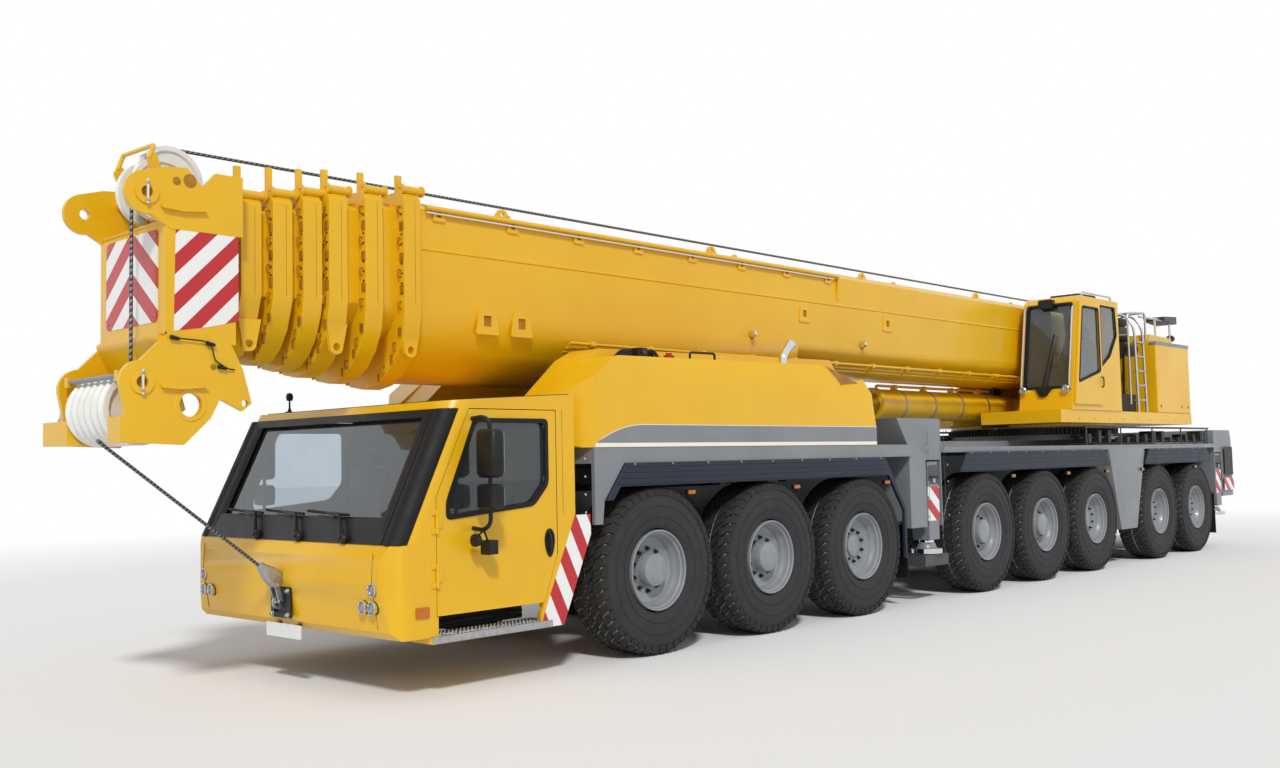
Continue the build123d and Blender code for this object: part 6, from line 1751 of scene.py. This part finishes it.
class CRANE_OT_superstructure(Operator):
    """Finish the slewing platform, machinery houses, ladder, winch and luffing cylinder."""

    bl_idname = "crane.superstructure"
    bl_label = "Superstructure"

    def execute(self, context):
        low, high = edges("slewing_platform")
        rounded_part("slewing_platform", YELLOW, 0.01)
        piece("slewing_teeth", [(draw_ring(), IRON)], "carrier")
        rounded_part("machinery_houses", YELLOW, 0.02)
        body = "superstructure"
        house = edges("machinery_houses")
        parts = Parts()
        # machinery houses: grey coping and locks on the outer face
        x0, x1, face, top = house[0][0], house[1][0], house[1][1], house[1][2]
        parts.plate(
            GREY, [(x0, top - 0.05), (x1 + 0.01, top - 0.05), (x1 + 0.01, top + 0.004), (x0, top + 0.004)], "y",
            (face - 0.10, face + 0.006), 0.01)
        for x in (x0 + 0.14, x0 + 0.42, x1 - 0.12):
            parts.turned(IRON, [(0, 0.022), (0.003, 0.022), (0.003, 0.006)], (x, face, house[0][2] + 0.11), "y", 16)
        # raised lid over the coping
        parts.plate(
            YELLOW, [(x0 + 0.40, top), (x1 - 0.02, top), (x1 - 0.06, top + 0.13), (x0 + 0.44, top + 0.11)], "y",
            (face - 0.55, face - 0.12), 0.02)
        # bolts low on the platform's edge
        parts.add(DARK_YELLOW_AND_SHADE, bolts([(x, 1.45, 2.20) for x in along(low[0] + 0.25, high[0] - 0.6, 9)], 0.010, 0.006))
        piece("superstructure_details", parts.placed(both), body)
        draw_ladder(context.scene.crane_sizes.ladder_steps)
        draw_machinery()
        draw_winch()
        draw_cylinder()
        return {"FINISHED"}


def draw_crane_cab():
    """Trim of the crane driver's cab, its door and its seat."""
    rounded_part("crane_cab_shell", YELLOW, 0.016, room=CRANE_CABIN)
    repaint("crane_cab_glass", "screen_glass")
    rounded_part("crane_cab_door", YELLOW, 0.006, room=CRANE_CABIN)
    low, high = edges("crane_cab_shell")
    door = edges("crane_cab_door")
    glass = edges("crane_cab_glass")
    parts = Parts()
    # rubber round the rear side windows, on both flanks
    line = [(-4.37, 2.98), (-4.37, 3.90), (-4.92, 3.90), (-4.96, 3.47), (-4.68, 3.14)]
    frame_out, frame_in = border(line, 0.012), border(line, -0.016)
    for y0, y1 in ((high[1] - 0.006, high[1] - 0.0004), (low[1] - 0.004, low[1] + 0.002)):
        parts.add(RUBBER, holed(frame_out, frame_in, "y", (y0, y1)))

    def front_x(z):
        return high[0] - (z - low[2]) * 0.1887

    # black surround and wiper of the front screen
    z0, z1 = glass[0][2], glass[1][2] - 0.03
    y0, y1 = low[1] + 0.065, high[1] - 0.065
    screen = rect(y0, y1, z0 + 0.01, z1)
    outer, inner = border(screen, 0.018), border(screen, -0.018)
    rows = [
        [(front_x(z) + out, y, z) for y, z in line] for line,
        out in ((inner, 0.001), (outer, 0.001), (outer, 0.007), (inner, 0.007))]
    parts.add(RUBBER, lofted(rows, wrap=True))
    wiper = [(front_x(z) + 0.03, y, z) for y, z in ((1.02, z0 - 0.02), (1.08, z0 + 0.30), (1.17, z0 + 0.78))]
    parts.tube(PLASTIC, wiper, (0.022, 0.014, 0.010), 8)
    hump = [
        (0.90, z0 + 0.03), (1.20, z0 + 0.03), (1.12, z0 - 0.06), (1.08, z0 - 0.12), (0.98, z0 - 0.12), (0.95, z0 - 0.06)]
    rows = [[(front_x(z) + out, y, z) for y, z in rounded(hump, 0.02, 3)] for out in (0.002, 0.035)]
    parts.add(PLASTIC, lofted(rows))
    # sun blind's housing under the roof's edge
    parts.plate(PLASTIC, rect(0.92, 1.14, z1 - 0.05, z1 + 0.08), "x", (front_x(z1) - 0.03, front_x(z1) + 0.07), 0.03)
    # grab rails bowed out before the front corners and over the roof
    for y in (low[1] + 0.05, high[1] - 0.03):
        parts.tube(
            "aluminium",
            [
                (front_x(2.62), y, 2.62), (front_x(2.62) + 0.07, y, 2.66), (front_x(3.80) + 0.07, y, 3.80),
                (front_x(3.84), y, 3.84)],
            0.014, 10, bend=0.06)
    roof = high[2]
    parts.tube(
        "aluminium",
        [
            (low[0] + 0.12, high[1] - 0.06, roof - 0.01), (low[0] + 0.12, high[1] - 0.06, roof + 0.07),
            (high[0] - 0.62, high[1] - 0.06, roof + 0.07), (high[0] - 0.62, high[1] - 0.06, roof - 0.01)],
        0.014, 10, bend=0.05)
    # round work lamps low on the front, one each side
    for y, z in ((low[1] + 0.07, 2.62), (high[1] - 0.09, 2.62)):
        c = (front_x(z) + 0.02, y, z)
        parts.turned(
            STEEL,
            [(-0.02, 0.01), (-0.01, 0.035), (0.02, 0.05), (0.045, 0.056), (0.05, 0.05), (0.04, 0.045), (0.035, 0.004)], c,
            "x", 28)
        parts.turned(
            "lamp_lens", [(0.036, 0.003), (0.036, 0.044), (0.046, 0.042), (0.052, 0.02), (0.054, 0.003)], c, "x", 28)
    # roof box of the air conditioning
    parts.plate(
        PLASTIC,
        [
            (low[0] + 0.25, roof - 0.002), (low[0] + 0.95, roof - 0.002), (low[0] + 0.92, roof + 0.09),
            (low[0] + 0.28, roof + 0.10)],
        "y", (low[1] + 0.16, high[1] - 0.22), 0.03)
    # hinge pin along the rear foot
    parts.tube(
        ZINC, [(low[0] + 0.03, low[1] + 0.05, low[2] + 0.03), (low[0] + 0.03, high[1] - 0.05, low[2] + 0.03)], 0.028, 16)
    piece("crane_cab_trim", parts, "crane_cab")
    # sliding door: pane in a rubber frame and its handle
    parts = Parts()
    skin = door[1][1]
    sill = [
        (door[0][0] + 0.075, 2.90), (door[0][0] + 0.075, door[1][2] - 0.075),
        (front_x(door[1][2] - 0.075) - 0.12, door[1][2] - 0.075), (front_x(2.72) - 0.12, 2.72)]
    wide, slim = border(sill, 0.012), border(sill, -0.014)
    parts.add(RUBBER, holed(wide, slim, "y", (skin - 0.003, skin + 0.006)))
    pane = border(sill, 0.004)
    parts.plate("side_glass", pane, "y", (skin - 0.022, skin - 0.016))
    parts.tube(
        PLASTIC,
        [
            (door[0][0] + 0.045, skin, 2.66), (door[0][0] + 0.045, skin + 0.03, 2.68),
            (door[0][0] + 0.045, skin + 0.03, 2.80), (door[0][0] + 0.045, skin, 2.82)],
        0.010, 8, bend=0.015)
    piece("crane_cab_door_trim", parts, "crane_cab_door")
    # seat with arms and two joysticks
    seat = edges("crane_cab_interior")
    x0, y0, y1, z0 = seat[0][0], seat[0][1], seat[1][1], seat[0][2]
    parts = Parts()
    parts.plate("seat_cloth", rect(y0 + 0.04, y1 - 0.04, 2.74, 2.85), "x", (x0 + 0.10, x0 + 0.62), 0.04)
    parts.plate(
        "seat_cloth",
        [(y0 + 0.05, 2.82), (y1 - 0.05, 2.82), (y1 - 0.05, 3.32), (y1 - 0.11, 3.40), (y0 + 0.11, 3.40), (y0 + 0.05, 3.32)],
        "x", (x0 + 0.01, x0 + 0.12), 0.05)
    parts.plate("seat_cloth", rect(1.0, 1.14, 3.42, 3.60), "x", (x0 + 0.02, x0 + 0.09), 0.04)
    parts.plate(
        PLASTIC, [(y0 + 0.12, z0), (y1 - 0.12, z0), (y1 - 0.16, 2.75), (y0 + 0.16, 2.75)], "x", (x0 + 0.16, x0 + 0.50), 0.03
    )
    for y in (y0 + 0.03, y1 - 0.03):
        parts.plate(
            PLASTIC, [(x0 + 0.12, 2.99), (x0 + 0.60, 2.99), (x0 + 0.62, 3.05), (x0 + 0.12, 3.06)], "y",
            (y - 0.03, y + 0.03), 0.02)
        parts.turned(
            PLASTIC,
            [(3.05, 0.02), (3.08, 0.022), (3.10, 0.010), (3.17, 0.012), (3.20, 0.022), (3.23, 0.018), (3.24, 0.004)],
            (x0 + 0.55, y, 0.0), "z", 14)
    piece("crane_cab_seat", parts, "crane_cab", 0.0, ["crane_cab_interior"])


class CRANE_OT_crane_cab(Operator):
    """Build the crane driver's cab with its door, rails and lamps."""

    bl_idname = "crane.crane_cab"
    bl_label = "Crane cab"

    def execute(self, context):
        draw_crane_cab()
        return {"FINISHED"}


OPERATORS = (
    CRANE_OT_finishes,
    CRANE_OT_stage,
    CRANE_OT_wheels,
    CRANE_OT_running_gear,
    CRANE_OT_chassis,
    CRANE_OT_outriggers,
    CRANE_OT_fenders,
    CRANE_OT_housings,
    CRANE_OT_carrier_cab,
    CRANE_OT_boom,
    CRANE_OT_head,
    CRANE_OT_superstructure,
    CRANE_OT_crane_cab,
)


class CRANE_PT_panel(Panel):
    """Lists the crane's pieces, sizes and colours."""

    bl_label = "Mobile crane"
    bl_idname = "CRANE_PT_panel"
    bl_space_type = "VIEW_3D"
    bl_region_type = "UI"
    bl_category = "Crane"

    def draw(self, context):
        for group in (context.scene.crane_sizes, context.scene.crane_colours):
            column = self.layout.column()
            for key in group.__annotations__:
                column.prop(group, key)
        column = self.layout.column()
        for kind in OPERATORS:
            column.operator(kind.bl_idname)


CLASSES = (CraneColours, CraneSizes, *OPERATORS, CRANE_PT_panel)


def register():
    """Register the classes and put the settings on the scene."""
    for kind in CLASSES:
        bpy.utils.register_class(kind)
    bpy.types.Scene.crane_sizes = PointerProperty(type=CraneSizes)
    bpy.types.Scene.crane_colours = PointerProperty(type=CraneColours)


def unregister():
    """Take the settings off the scene and unregister the classes."""
    del bpy.types.Scene.crane_colours
    del bpy.types.Scene.crane_sizes
    for kind in reversed(CLASSES):
        bpy.utils.unregister_class(kind)


def main():
    """Build every piece in order."""
    register()
    for kind in OPERATORS:
        group, name = kind.bl_idname.split(".")
        getattr(getattr(bpy.ops, group), name)()


if __name__ == "__main__":
    main()
